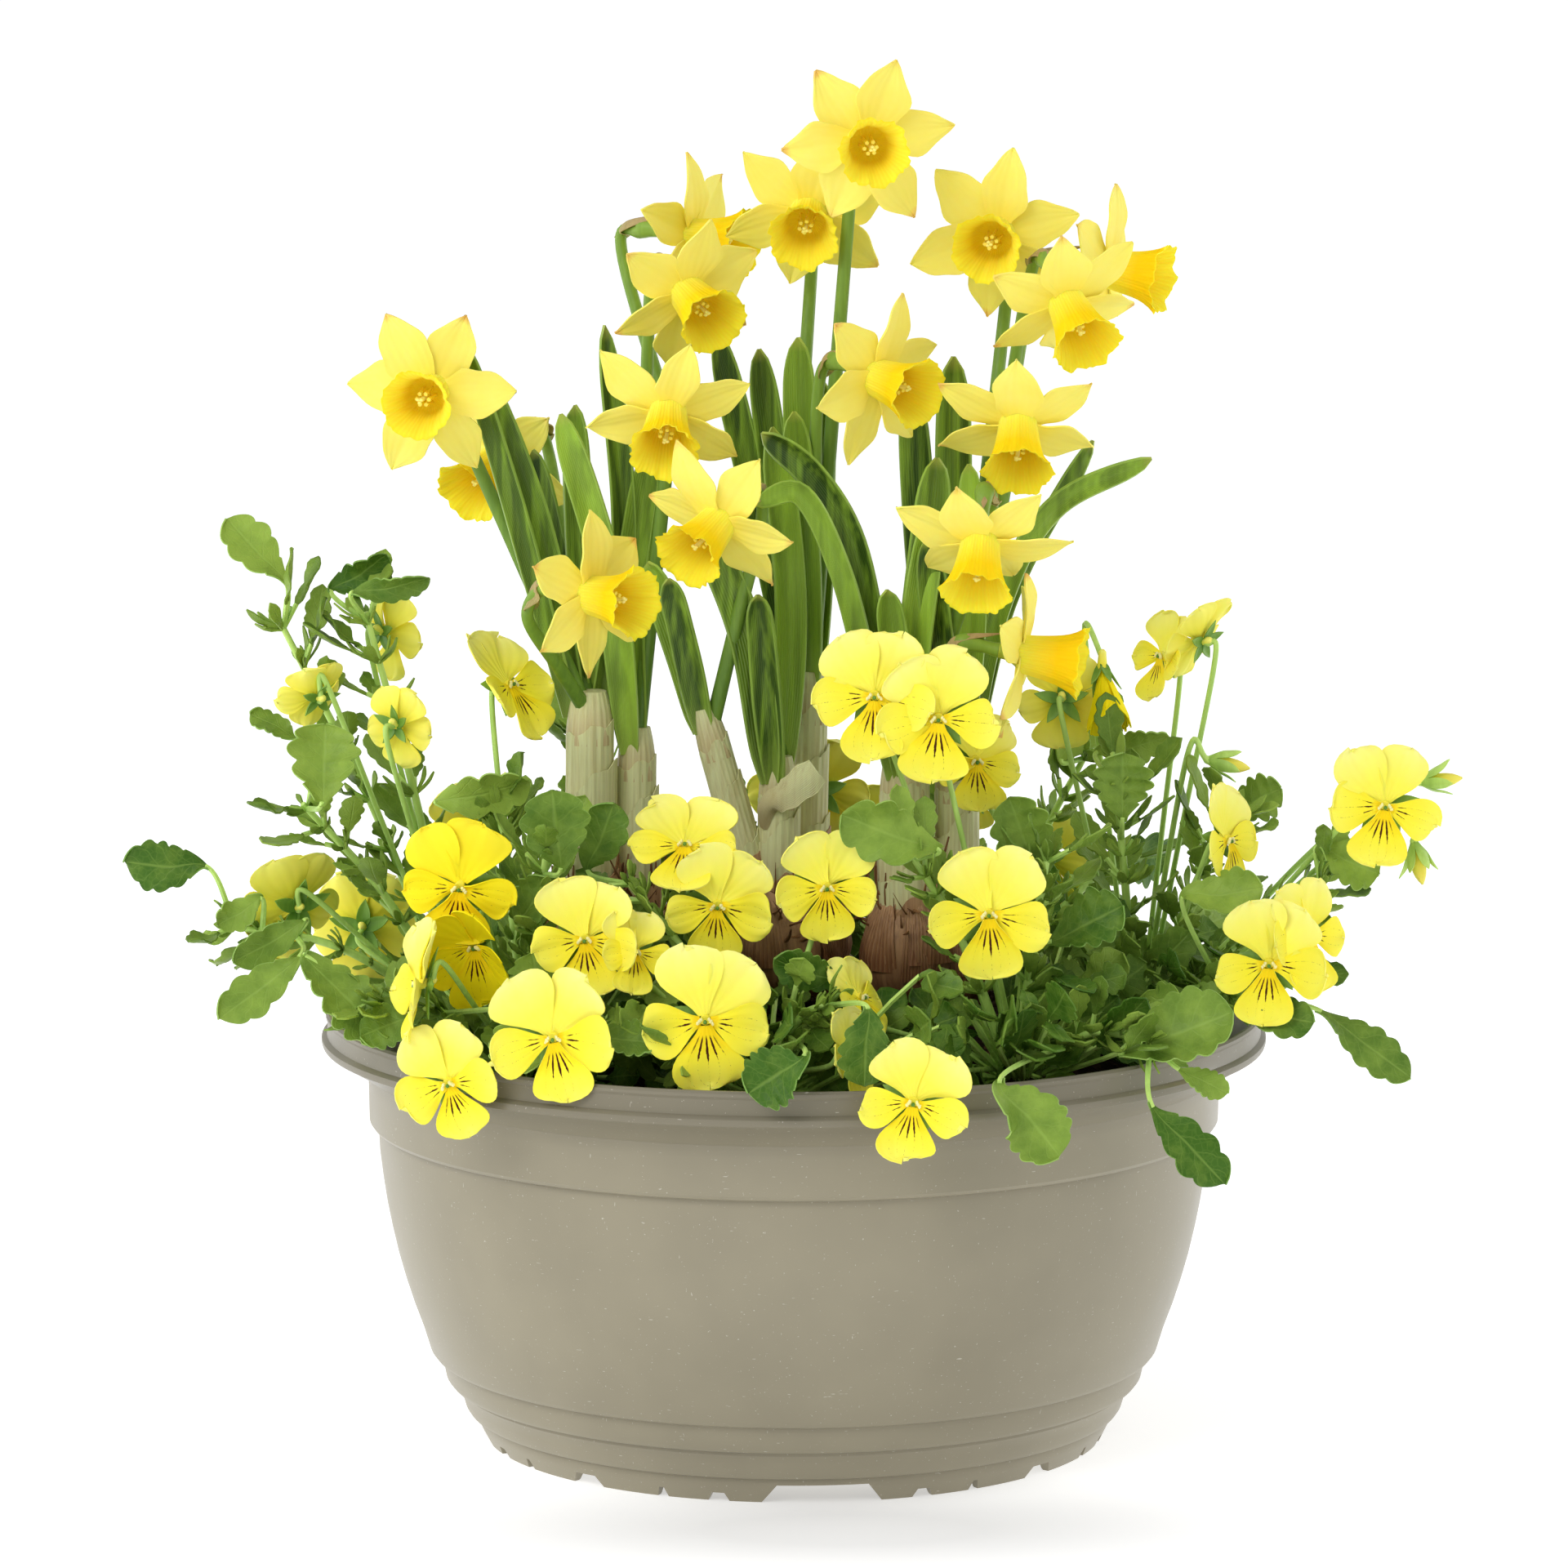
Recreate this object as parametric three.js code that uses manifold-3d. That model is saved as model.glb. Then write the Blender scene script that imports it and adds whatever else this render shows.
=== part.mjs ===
// A moulded bowl planted with miniature daffodils in the middle and violas round the edge.
// Millimetres, +Z up. The origin is on the ground under the middle of the bowl; -Y is the front.

import * as THREE from "three";
import { mergeVertices } from "three/addons/utils/BufferGeometryUtils.js";
import Module from "manifold-3d";

const wasm = await Module();
wasm.setup();

// Bowl: overall sizes, from which the wall and the foot are worked out
const RIM_RADIUS = 135;
const BOWL_HEIGHT = 123.8;
const WALL = 2;
const FLOOR_TOP = 8.5;
const FOOT_RADIUS = 89;
const FOOT_HEIGHT = 6.3;
const BOWL_SIDES = 28;

// Foot: the same arch and notches in every quarter turn, from the arch that faces the front
const ARCH_AZIMUTH = -85;
const ARCH = { width: 27, height: 5.4 };
const NOTCHES = [
  { angle: -19, width: 4, height: 2.8 },
  { angle: 19, width: 4, height: 2.8 },
  { angle: 45, width: 8, height: 3 },
];
const DRAINS = { count: 4, radius: 4, reach: 62 };

// Growing mix: gap to the bowl, and its domed top as radius and height
const FIT = 0.3;
const SOIL_SIDES = 14;
const SOIL_TOP = [
  [116, 106],
  [92, 113.5],
  [48, 124.5],
  [0, 129.5],
];

// Blades and stems
const BLADE = 0.7;
const STALK = 1;
const PETAL = 0.7;
const CLEAR = 0.35;

// Daffodil bloom: tepals, trumpet and the stub behind them
const TEPAL_REACH = 26;
const TRUMPET = { length: 17, mouth: 9.4, throat: 5.6, sides: 8 };
const DAFFODIL_BACK = 6;

// Viola bloom: half width, and how far its back stands behind its face
const VIOLA_REACH = 15.5;
const VIOLA_BACK = 1.1;

const COLOURS = {
  bowl: ["#9d9686", 0.42],
  soil: ["#3a2a20", 0.95],
  bulb: ["#8a6243", 0.75],
  strap: ["#3f7d2c", 0.5],
  leaf: ["#3c7a33", 0.6],
  daffodil: ["#ffe23a", 0.6],
  viola: ["#fbf05a", 0.6],
};

const UP = new THREE.Vector3(0, 0, 1);
const point = (at) => new THREE.Vector3(...at);
const FRONT = point([0, -1, 0]);
const STEM_FACE = point([0, -1, 0.2]);
const radians = (degrees) => (degrees * Math.PI) / 180;

// Solids: one closed surface from a geometry, and back
function solid(geometry) {
  const bare = new THREE.BufferGeometry().setAttribute("position", geometry.getAttribute("position"));
  if (geometry.index) bare.setIndex(geometry.index);
  const merged = mergeVertices(bare, 1e-4);
  return new wasm.Manifold(
    new wasm.Mesh({
      numProp: 3,
      vertProperties: new Float32Array(merged.getAttribute("position").array),
      triVerts: new Uint32Array(merged.index.array),
    }),
  );
}

function surface(body) {
  const mesh = body.getMesh();
  return new THREE.BufferGeometry()
    .setAttribute("position", new THREE.BufferAttribute(new Float32Array(mesh.vertProperties), 3))
    .setIndex(new THREE.BufferAttribute(new Uint32Array(mesh.triVerts), 1));
}

const fuse = (bodies) => bodies.reduce((all, one) => all.add(one));

// The largest body of a solid, without the scraps that a crossing leaves
function whole(body) {
  const bodies = body.decompose();
  return bodies.reduce((best, one) => (one.volume() > best.volume() ? one : best));
}

function revolve(profile, sides, phase = 0) {
  const geometry = new THREE.LatheGeometry(
    profile.map(([radius, height]) => new THREE.Vector2(radius, height)),
    sides,
  );
  return solid(geometry.rotateX(Math.PI / 2).rotateZ(phase));
}

function block(width, depth, height, x, y, z) {
  return new THREE.BoxGeometry(width, depth, height).translate(x, y, z);
}

// Sections: unit outlines that a sweep scales
const polygon = (sides) =>
  Array.from({ length: sides }, (_, i) => {
    const turn = (2 * Math.PI * (i + 0.5)) / sides;
    return [Math.cos(turn) / 2, Math.sin(turn) / 2];
  });
const FLAT = [
  [-0.5, -0.5],
  [0.5, -0.5],
  [0.5, 0.5],
  [-0.5, 0.5],
];

const route = (points) => new THREE.CatmullRomCurve3(points, false, "catmullrom", 0.5);

// A section carried along a curve: at each station its place, width and depth
function sweep(section, points, stations, faces) {
  const curve = route(points);
  const steps = stations.length - 1;
  const shape = new THREE.Shape(section.map(([x, y]) => new THREE.Vector2(x, y)));
  const geometry = new THREE.ExtrudeGeometry(shape, { depth: 1, steps, bevelEnabled: false });
  const frames = stations.map(([s]) => {
    const along = curve.getTangent(s);
    const hint = faces[0].clone().lerp(faces[faces.length - 1], s);
    const face = hint.addScaledVector(along, -hint.dot(along)).normalize();
    return { at: curve.getPoint(s), face, side: face.clone().cross(along) };
  });
  const vertices = geometry.getAttribute("position");
  const corners = Array.from({ length: vertices.count }, (_, i) =>
    new THREE.Vector3().fromBufferAttribute(vertices, i),
  );
  if (section === FLAT) splitAlike(corners, geometry.groups[1].start);
  corners.forEach(({ x, y, z }, i) => {
    const k = Math.round(z * steps);
    const place = frames[k].at
      .clone()
      .addScaledVector(frames[k].side, x * stations[k][1])
      .addScaledVector(frames[k].face, y * stations[k][2]);
    vertices.setXYZ(i, place.x, place.y, place.z);
  });
  return geometry;
}

// Turns the diagonals of a blade's back, so that both faces split alike and can't cross where it twists
function splitAlike(corners, start) {
  for (let i = start; i < corners.length; i += 6) {
    if (!corners.slice(i, i + 6).every(({ y }) => y < 0)) continue;
    [corners[i + 2], corners[i + 3]] = [corners[i + 4], corners[i]];
  }
}

// A bloom's frame: yaw 0 faces the front, pitch tips it up, roll turns it as seen from before it
function facing([yaw, pitch, roll], centre) {
  const out = point([
    Math.sin(radians(yaw)) * Math.cos(radians(pitch)),
    -Math.cos(radians(yaw)) * Math.cos(radians(pitch)),
    Math.sin(radians(pitch)),
  ]);
  const side = UP.clone().cross(out).normalize();
  const top = out.clone().cross(side);
  return new THREE.Matrix4()
    .makeBasis(side, top, out)
    .multiply(new THREE.Matrix4().makeRotationZ(radians(roll)))
    .setPosition(point(centre));
}

const frameOut = (frame) => new THREE.Vector3().setFromMatrixColumn(frame, 2);

// A thin plate with an outline, bent by a formula that lifts each of its points
function plate(outline, thickness, lift) {
  const shape = new THREE.Shape(outline.map(([x, y]) => new THREE.Vector2(x, y)));
  const geometry = new THREE.ExtrudeGeometry(shape, { depth: thickness, bevelEnabled: false });
  const vertices = geometry.getAttribute("position");
  for (let i = 0; i < vertices.count; i++) {
    vertices.setZ(i, vertices.getZ(i) + lift(vertices.getX(i), vertices.getY(i)));
  }
  return geometry;
}

// The bowl: radius and height up the outside, over the rim, down the inside and under the floor
const OUTSIDE = [
  [FOOT_RADIUS, 0],
  [92.4, 7.4],
  [94.2, 8.4],
  [98.2, 15.6],
  [99.8, 16.8],
  [102.6, 24.6],
  [104.4, 26],
  [109.6, 40],
  [114.4, 57],
  [119.2, 90.6],
  [120.9, 92],
  [122.1, 105.6],
  [RIM_RADIUS, 114.6],
  [RIM_RADIUS, 117],
  [133.2, BOWL_HEIGHT],
];
const INSIDE = [
  [131.4, BOWL_HEIGHT],
  [120, 105.6],
  [113.6 - WALL, 57],
  [103.6 - WALL, 29],
  [94, 13],
  [88, FLOOR_TOP],
];

function bowl() {
  const underside = [
    [0, FLOOR_TOP],
    [0, FOOT_HEIGHT],
    [FOOT_RADIUS - 2.6, FOOT_HEIGHT],
    [FOOT_RADIUS - 2.2, 0],
  ];
  let body = revolve([...underside.slice(1), ...OUTSIDE, ...INSIDE, underside[0]], BOWL_SIDES);
  const cuts = [];
  for (let quarter = 0; quarter < 4; quarter++) {
    for (const { angle, width, height } of [{ angle: 0, ...ARCH }, ...NOTCHES]) {
      const turn = radians(ARCH_AZIMUTH + 90 * quarter + angle);
      cuts.push(block(16, width, 2 * height, FOOT_RADIUS, 0, 0).rotateZ(turn));
    }
  }
  for (let i = 0; i < DRAINS.count; i++) {
    const turn = radians(45 + (360 / DRAINS.count) * i);
    const hole = new THREE.CylinderGeometry(DRAINS.radius, DRAINS.radius, 20, 8);
    cuts.push(hole.rotateX(Math.PI / 2).translate(DRAINS.reach, 0, FLOOR_TOP).rotateZ(turn));
  }
  for (const cut of cuts) body = body.subtract(solid(cut));
  return body;
}

const BULB_SIDES = 6;

// Bulbs, and the papery necks on them, in three clumps
const BULBS = {
  left: [
    { at: [-58, -20, 142], radius: 13 },
    { at: [-45, -14, 140], radius: 12 },
  ],
  centre: [
    { at: [-6, -25, 144], radius: 14 },
    { at: [3, -6, 143], radius: 12.5 },
  ],
  right: [
    { at: [32, -22, 142], radius: 13 },
    { at: [46, -15, 140], radius: 11.5 },
  ],
};
const NECKS = {
  s1: { clump: "left", foot: [-58, -20, 152], top: [-57.5, -20, 208], width: 14.5 },
  s2: { clump: "left", foot: [-45, -14, 150], top: [-44.5, -14.5, 197], width: 12 },
  s3: { clump: "centre", foot: [-8, -25, 150], top: [-23, -25, 204], width: 10 },
  s4: { clump: "centre", foot: [-5, -25, 150], top: [-4.5, -24, 190], width: 12 },
  s5: { clump: "centre", foot: [3, -6, 150], top: [4.5, -7, 212], width: 11 },
  s6: { clump: "right", foot: [32, -22, 150], top: [31, -21, 191], width: 15 },
  s7: { clump: "right", foot: [46, -15, 150], top: [45.5, -16, 191], width: 12.5 },
};

// A bulb from its base plate over its belly and shoulder to its nose
const BULB = { base: -18, belly: -2, shoulder: 13, nose: 21 };

function bulbProfile(radius, extra) {
  return [
    [0, BULB.base - extra],
    [0.45 * radius + extra, BULB.base - extra],
    [radius + extra, BULB.belly],
    [0.72 * radius + extra, BULB.shoulder],
    [0, BULB.nose + extra],
  ];
}

function bulbClump(name) {
  const bodies = BULBS[name].map(({ at, radius }) =>
    revolve(bulbProfile(radius, 0), BULB_SIDES).translate(at),
  );
  for (const { clump, foot, top, width } of Object.values(NECKS)) {
    if (clump !== name) continue;
    const stations = [
      [0, width * 1.2, width * 1.2],
      [1, width, width],
    ];
    bodies.push(solid(sweep(polygon(6), [point(foot), point(top)], stations, [FRONT])));
  }
  return fuse(bodies);
}

// Shoots: which necks' leaves and flower stems hold together as one piece
const SHOOTS = { left: ["s1", "s2"], centre: ["s3", "s4", "s5"], right: ["s6", "s7"] };

// Strap leaves: neck, width, and the points that the leaf passes above its neck, tip last
const STRAPS = [
  ["s1", 6.5, [[-78, -21, 268], [-92, -24, 315]]],
  ["s1", 7.5, [[-71, -13, 262], [-87, -10, 306]]],
  ["s1", 7, [[-48, -12, 258], [-53, -8, 319]]],
  ["s1", 8.5, [[-66, -8, 246], [-74, 0, 283]]],
  ["s1", 8, [[-60, -10, 254], [-62, -3, 296]]],
  ["s2", 9, [[-52, -27, 250], [-65, -32, 296]]],
  ["s2", 9.5, [[-46, -14, 242], [-40, -10, 285]]],
  ["s3", 9.5, [[-32, -25, 230], [-41, -27, 254]]],
  ["s3", 8, [[-30, -29, 228], [-35, -33, 250]]],
  ["s4", 10.5, [[-13, -31, 234], [-29, -30, 273]]],
  ["s4", 8, [[-8, -33, 222], [-10, -38, 246]]],
  ["s4", 9.5, [[-1, -20, 242], [-6, -16, 291]]],
  ["s5", 10, [[3, -3, 265], [1, -2, 315]]],
  ["s5", 9, [[-3, 2, 262], [-10, 7, 311]]],
  ["s5", 9, [[3, -12, 255], [0, -13, 295]]],
  ["s5", 8.5, [[7, 2, 258], [8, 5, 302]]],
  ["s5", 9, [[-9, 4, 262], [-22, 10, 316]]],
  ["s6", 8.5, [[23, -27, 228], [16, -29, 260], [5, -32, 279], [-9, -36, 291]]],
  ["s6", 6.5, [[21, -31, 222], [13, -33, 252], [2, -36, 274], [-11, -40, 272]]],
  ["s6", 11, [[35, -24, 238], [40, -24, 283]]],
  ["s6", 9.5, [[33, -36, 228], [39, -38, 270]]],
  ["s6", 8.5, [[29, -38, 222], [26, -42, 248]]],
  ["s7", 9, [[41, -32, 226], [37, -40, 262]]],
  ["s7", 10.5, [[45, -8, 250], [45, -7, 310]]],
  ["s7", 10, [[37, -6, 248], [33, -1, 302]]],
  ["s7", 6.5, [[58, -12, 240], [73, -14, 268], [101, -6, 281]]],
  ["s7", 6, [[60, -6, 240], [85, 8, 285]]],
  ["s7", 8, [[50, -20, 240], [49, -21, 281]]],
];

// The top of a neck, and the way that it points
function neckEnd(name) {
  const top = point(NECKS[name].top);
  return { top, rise: top.clone().sub(point(NECKS[name].foot)).normalize() };
}

function strap([neck, width, points]) {
  const { top, rise } = neckEnd(neck);
  const outward = point(points[0]).setZ(0).sub(top.clone().setZ(0));
  const { clamp } = THREE.MathUtils;
  const half = 0.36 * NECKS[neck].width;
  const spread = point([clamp(0.25 * outward.x, -half, half), clamp(0.6 * outward.y, -half, half), 0]);
  const through = [top.clone().addScaledVector(rise, FIT + 1.5).add(spread), ...points.map(point)];
  const face = outward.normalize().multiplyScalar(0.35).add(FRONT);
  const stations = [
    [0, 5, 2],
    [0.36, 0.95 * width, 1.3],
    [0.78, 0.85 * width, 1],
    [1, 1.6, 0.7],
  ];
  return solid(sweep(FLAT, through, stations, [face]));
}

// Daffodil heads: neck, centre of the tepals, [yaw, pitch, roll], how far the tepals bend back
const DAFFODILS = [
  ["s5", [19.9, -18, 371], [8, -8, -23], 1, "top"],
  ["s4", [4, 12, 349], [-5, -20, -13], 1, "top_back", [0, 8, 0]],
  ["s4", [-29, 34, 341], [60, -5, 10], 2, "left_back", [0, 10, 0]],
  ["s2", [-30, -8, 328], [30, -25, 0], 2, "left", [0, 6, 0]],
  ["s2", [-35, -38, 297], [-3, -35, -13], 3, "front_left"],
  ["s3", [-21, -52, 268], [-35, -30, 15], 4, "front_left_low"],
  ["s1", [-101, -28, 302], [-12, -8, 29], 2, "far_left"],
  ["s1", [-84, 22, 278], [-40, -30, 0], 3, "far_left_back"],
  ["s1", [-56, -62, 249], [50, -3, 5], 1, "low_left"],
  ["s5", [23, -29, 306], [45, -12, -12], 1, "centre"],
  ["s7", [57, -2, 344], [-12, -10, -15], 2, "right"],
  ["s7", [75.5, -30, 327], [25, -40, 20], 4, "right_low", [0, 12, 0]],
  ["s7", [89, 16, 333], [80, -8, 0], 3, "far_right", [0, 8, 0]],
  ["s7", [62, -41, 294], [-3, -45, 0], 5, "front_right", [0, 6, 0]],
  ["s6", [51, -66, 264], [-8, -50, 15], 5, "front_right_low"],
  ["s6", [63, -48, 231], [80, -8, 10], 3, "low_right"],
];

// The outline of the six tepals: a shoulder, a tip and a shoulder each, and the notch before the next
function tepals() {
  const lobe = [
    [0.64, -0.24],
    [1, 0],
    [0.64, 0.24],
  ];
  return [0, 1, 2, 3, 4, 5].flatMap((step) => {
    const angle = radians(90 + 60 * step);
    const [c, s] = [Math.cos(angle), Math.sin(angle)];
    const notch = [0.36 * TEPAL_REACH, angle + radians(30)];
    return [
      ...lobe.map(([x, y]) => [TEPAL_REACH * (x * c - y * s), TEPAL_REACH * (x * s + y * c)]),
      [notch[0] * Math.cos(notch[1]), notch[0] * Math.sin(notch[1])],
    ];
  });
}

function daffodil([, centre, aim, bend]) {
  // The three inner tepals stand before the outer ones, and all of them bend back towards their tips
  const lift = (x, y) => {
    const reach = Math.hypot(x, y) / TEPAL_REACH;
    const layer = Math.cos(3 * (Math.atan2(y, x) - Math.PI / 2));
    return 1.4 * layer * Math.min(1, 1.6 * reach) - bend * reach * reach;
  };
  const star = plate(tepals(), PETAL, lift);
  const { length, mouth, throat, sides } = TRUMPET;
  const cup = revolve(
    [
      [0, -DAFFODIL_BACK],
      [2.4, -DAFFODIL_BACK],
      [throat, 0.3],
      [mouth, length],
      [mouth - 1.6, length - 0.3],
      [0, 0.3 * length],
    ],
    sides,
  );
  const body = whole(fuse([solid(star), cup]));
  return body.transform(facing(aim, centre).elements);
}

// Flower stem of a daffodil: up from its neck, over a crook and into the back of the bloom
function scape([neck, centre, aim, , , sway = [0, 0, 0]]) {
  const frame = facing(aim, centre);
  const out = frameOut(frame);
  const level = out.clone().setZ(0).normalize();
  const end = point(centre).addScaledVector(out, -DAFFODIL_BACK - FIT);
  const ovary = end.clone().addScaledVector(out, -11);
  const nod = Math.max(0, -out.z - 0.5);
  const crook = ovary.clone().addScaledVector(level, -6 - 30 * nod).addScaledVector(UP, -9);
  const { top, rise } = neckEnd(neck);
  const foot = top.clone().addScaledVector(rise, FIT + 1.5);
  const middle = foot.clone().lerp(crook, 0.5).add(point(sway));
  const stations = [
    [0, 4.6, 4.6],
    [0.34, 4.2, 4.2],
    [0.62, 3.6, 3.6],
    [0.75, 5.6, 5.6],
    [1, 4.2, 4.2],
  ];
  return solid(sweep(polygon(3), [foot, middle, crook, ovary, end], stations, [point([0, -1, 0.3])]));
}

function shoot(necks) {
  const bodies = [];
  for (const neck of necks) {
    const { top, rise } = neckEnd(neck);
    const width = NECKS[neck].width * 0.95;
    const stations = [
      [0, width, width],
      [1, 0.8 * width, 0.8 * width],
    ];
    const ends = [FIT, FIT + 10].map((step) => top.clone().addScaledVector(rise, step));
    bodies.push(solid(sweep(polygon(6), ends, stations, [FRONT])));
    bodies.push(...STRAPS.filter(([from]) => from === neck).map(strap));
    bodies.push(...DAFFODILS.filter(([from]) => from === neck).map(scape));
  }
  return whole(fuse(bodies));
}

// Viola heads: plant, centre, [yaw, pitch, roll], size against a full bloom, and the cluster's name
const VIOLAS = [
  ["left", [-115, 5, 230], [130, -10, 0], 0.75, "v01"],
  ["left", [-135, -20, 216], [-150, 20, 0], 0.65, "v02"],
  ["left", [-110, -30, 208], [150, -10, 0], 0.65, "v03"],
  ["left", [-142, -15, 155], [-150, 10, 0], 1, "v10"],
  ["left", [-124, 20, 143], [175, 0, 0], 1, "v12"],
  ["left_front", [-78.5, -35, 221], [60, 25, 0], 1, "v04"],
  ["left_front", [-91.6, -85, 171], [-10, -20, -5], 1.05, "v05"],
  ["left_front", [-88, -81, 154], [-20, -35, 10], 0.9, "v05"],
  ["left_front", [-103, -100, 147], [-80, 0, 0], 1, "v08"],
  ["left_front", [-94, -108, 121], [-15, -15, 22], 0.95, "v08"],
  ["left_front", [-65, -121, 136], [-8, -5, 8], 1.1, "v13"],
  ["front", [-57, -98, 159], [-5, 0, 5], 0.95, "v14"],
  ["front", [-43, -100, 156], [15, 5, -5], 0.65, "v14"],
  ["front", [-30, -75, 182], [-5, 40, 0], 0.95, "v16"],
  ["front", [-21, -85, 166], [0, -10, 0], 0.95, "v16"],
  ["front", [-24, -119, 140.5], [0, 0, 0], 1.1, "v18"],
  ["front", [9, -84, 171], [5, -5, 0], 0.9, "v19"],
  ["front", [16, -116, 131], [60, 0, 0], 0.7, "v21"],
  ["right_front", [19, -96, 143], [60, 20, 0], 0.7, "v20"],
  ["right_front", [31.6, -140, 122], [0, -5, -6], 0.95, "v22"],
  ["right_front", [53, -92, 165], [0, 0, 0], 1.05, "v23"],
  ["right_front", [22, -70, 222], [-5, 0, 0], 1.05, "v24"],
  ["right_front", [39.5, -72, 216], [0, -5, 0], 1.05, "v24"],
  ["right", [51, -42, 200], [15, 0, 0], 0.8, "v26"],
  ["right", [76, -10, 213], [175, -10, 0], 0.8, "v30"],
  ["right", [87, -16, 222], [20, -75, 0], 0.7, "v30"],
  ["right", [104, 4, 224], [-60, 10, 0], 0.75, "v32"],
  ["right", [114, 2, 229], [-130, 15, 0], 0.75, "v32"],
  ["right", [122, -40, 177.5], [60, 0, 0], 0.9, "v34"],
  ["right", [166, -30, 185.5], [0, 0, -5], 1, "v35"],
  ["right", [131.5, -62, 146], [-5, -5, 0], 1, "v36"],
  ["right", [144, -55, 153], [40, 0, 0], 0.9, "v36"],
  ["back_right", [52, 30, 180], [170, 0, 0], 0.6, "v28"],
  ["back_right", [76, 92, 152], [150, 5, 0], 0.95, "v41"],
  ["back_right", [24, 122, 154], [180, 5, 0], 1, "v42"],
  ["back_left", [8, 48, 179], [170, 0, 0], 0.95, "v27"],
  ["back_right", [2, 120, 168], [175, 5, 0], 1, "v42"],
  ["back_left", [-96, 92, 160], [-140, 5, 0], 1, "v44"],
];

// The right half of a viola's outline, from the notch between the upper petals to the foot of the lip
const VIOLA_HALF = [
  [7, 17],
  [14.2, 13],
  [VIOLA_REACH, 6],
  [9.6, 2.4],
  [15, 1.2],
  [15, -4.6],
  [9.6, -8],
  [4.4, -5.4],
  [8, -12.5],
  [4.2, -17],
];

// The upper petals lean back, the side ones cup, and the lip comes forward
function viola([, centre, aim, size]) {
  const left = VIOLA_HALF.map(([x, y]) => [-x, y]).reverse();
  const outline = [[0, 13.6], ...VIOLA_HALF, ...left].reverse();
  const layer = plate(outline, PETAL, (x, y) => -1 - 0.14 * y + 0.011 * x * x);
  return solid(layer.scale(size, size, 1)).transform(facing(aim, centre).elements);
}

// Viola plants: where each crown stands, and the tips of its leafy stems
const PLANTS = {
  left: { crown: [-92, 4], stems: [[-146, -6, 236], [-121, -10, 238], [-138, -28, 186], [-160, -20, 150]] },
  left_front: { crown: [-74, -60], stems: [[-82, -46, 186], [-68, -78, 180], [-118, -76, 138]] },
  front: { crown: [-8, -92], stems: [[-46, -76, 172], [10, -102, 142], [-30, -110, 128]] },
  right_front: { crown: [62, -66], stems: [[32, -82, 180], [70, -62, 176], [98, -94, 130]] },
  right: { crown: [98, -4], stems: [[90, -32, 194], [124, -16, 182], [150, -22, 164], [130, -50, 134]] },
  back_right: { crown: [56, 74], stems: [[86, 60, 188], [40, 104, 158], [96, 96, 150]] },
  back_left: { crown: [-48, 82], stems: [[-62, 84, 190], [-16, 106, 158], [-100, 78, 150]] },
};
const CROWN = { radius: 7, sunk: 5, height: 13, sides: 5 };
const STEM_WIDTH = 2.6;
const PEDICEL_WIDTH = 1.7;

// Green buds that nod at the end of their stalks: plant, centre, the way that the tip points
const BUDS = [
  ["right", [123, -15, 195.3], [1, 0, -0.2]],
  ["right", [176.4, -20, 167.6], [0.2, -0.3, -1]],
  ["right", [184, -5, 189.4], [1, 0, 0.1]],
];
const BUD = { length: 12, width: 6, sides: 5 };

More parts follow.
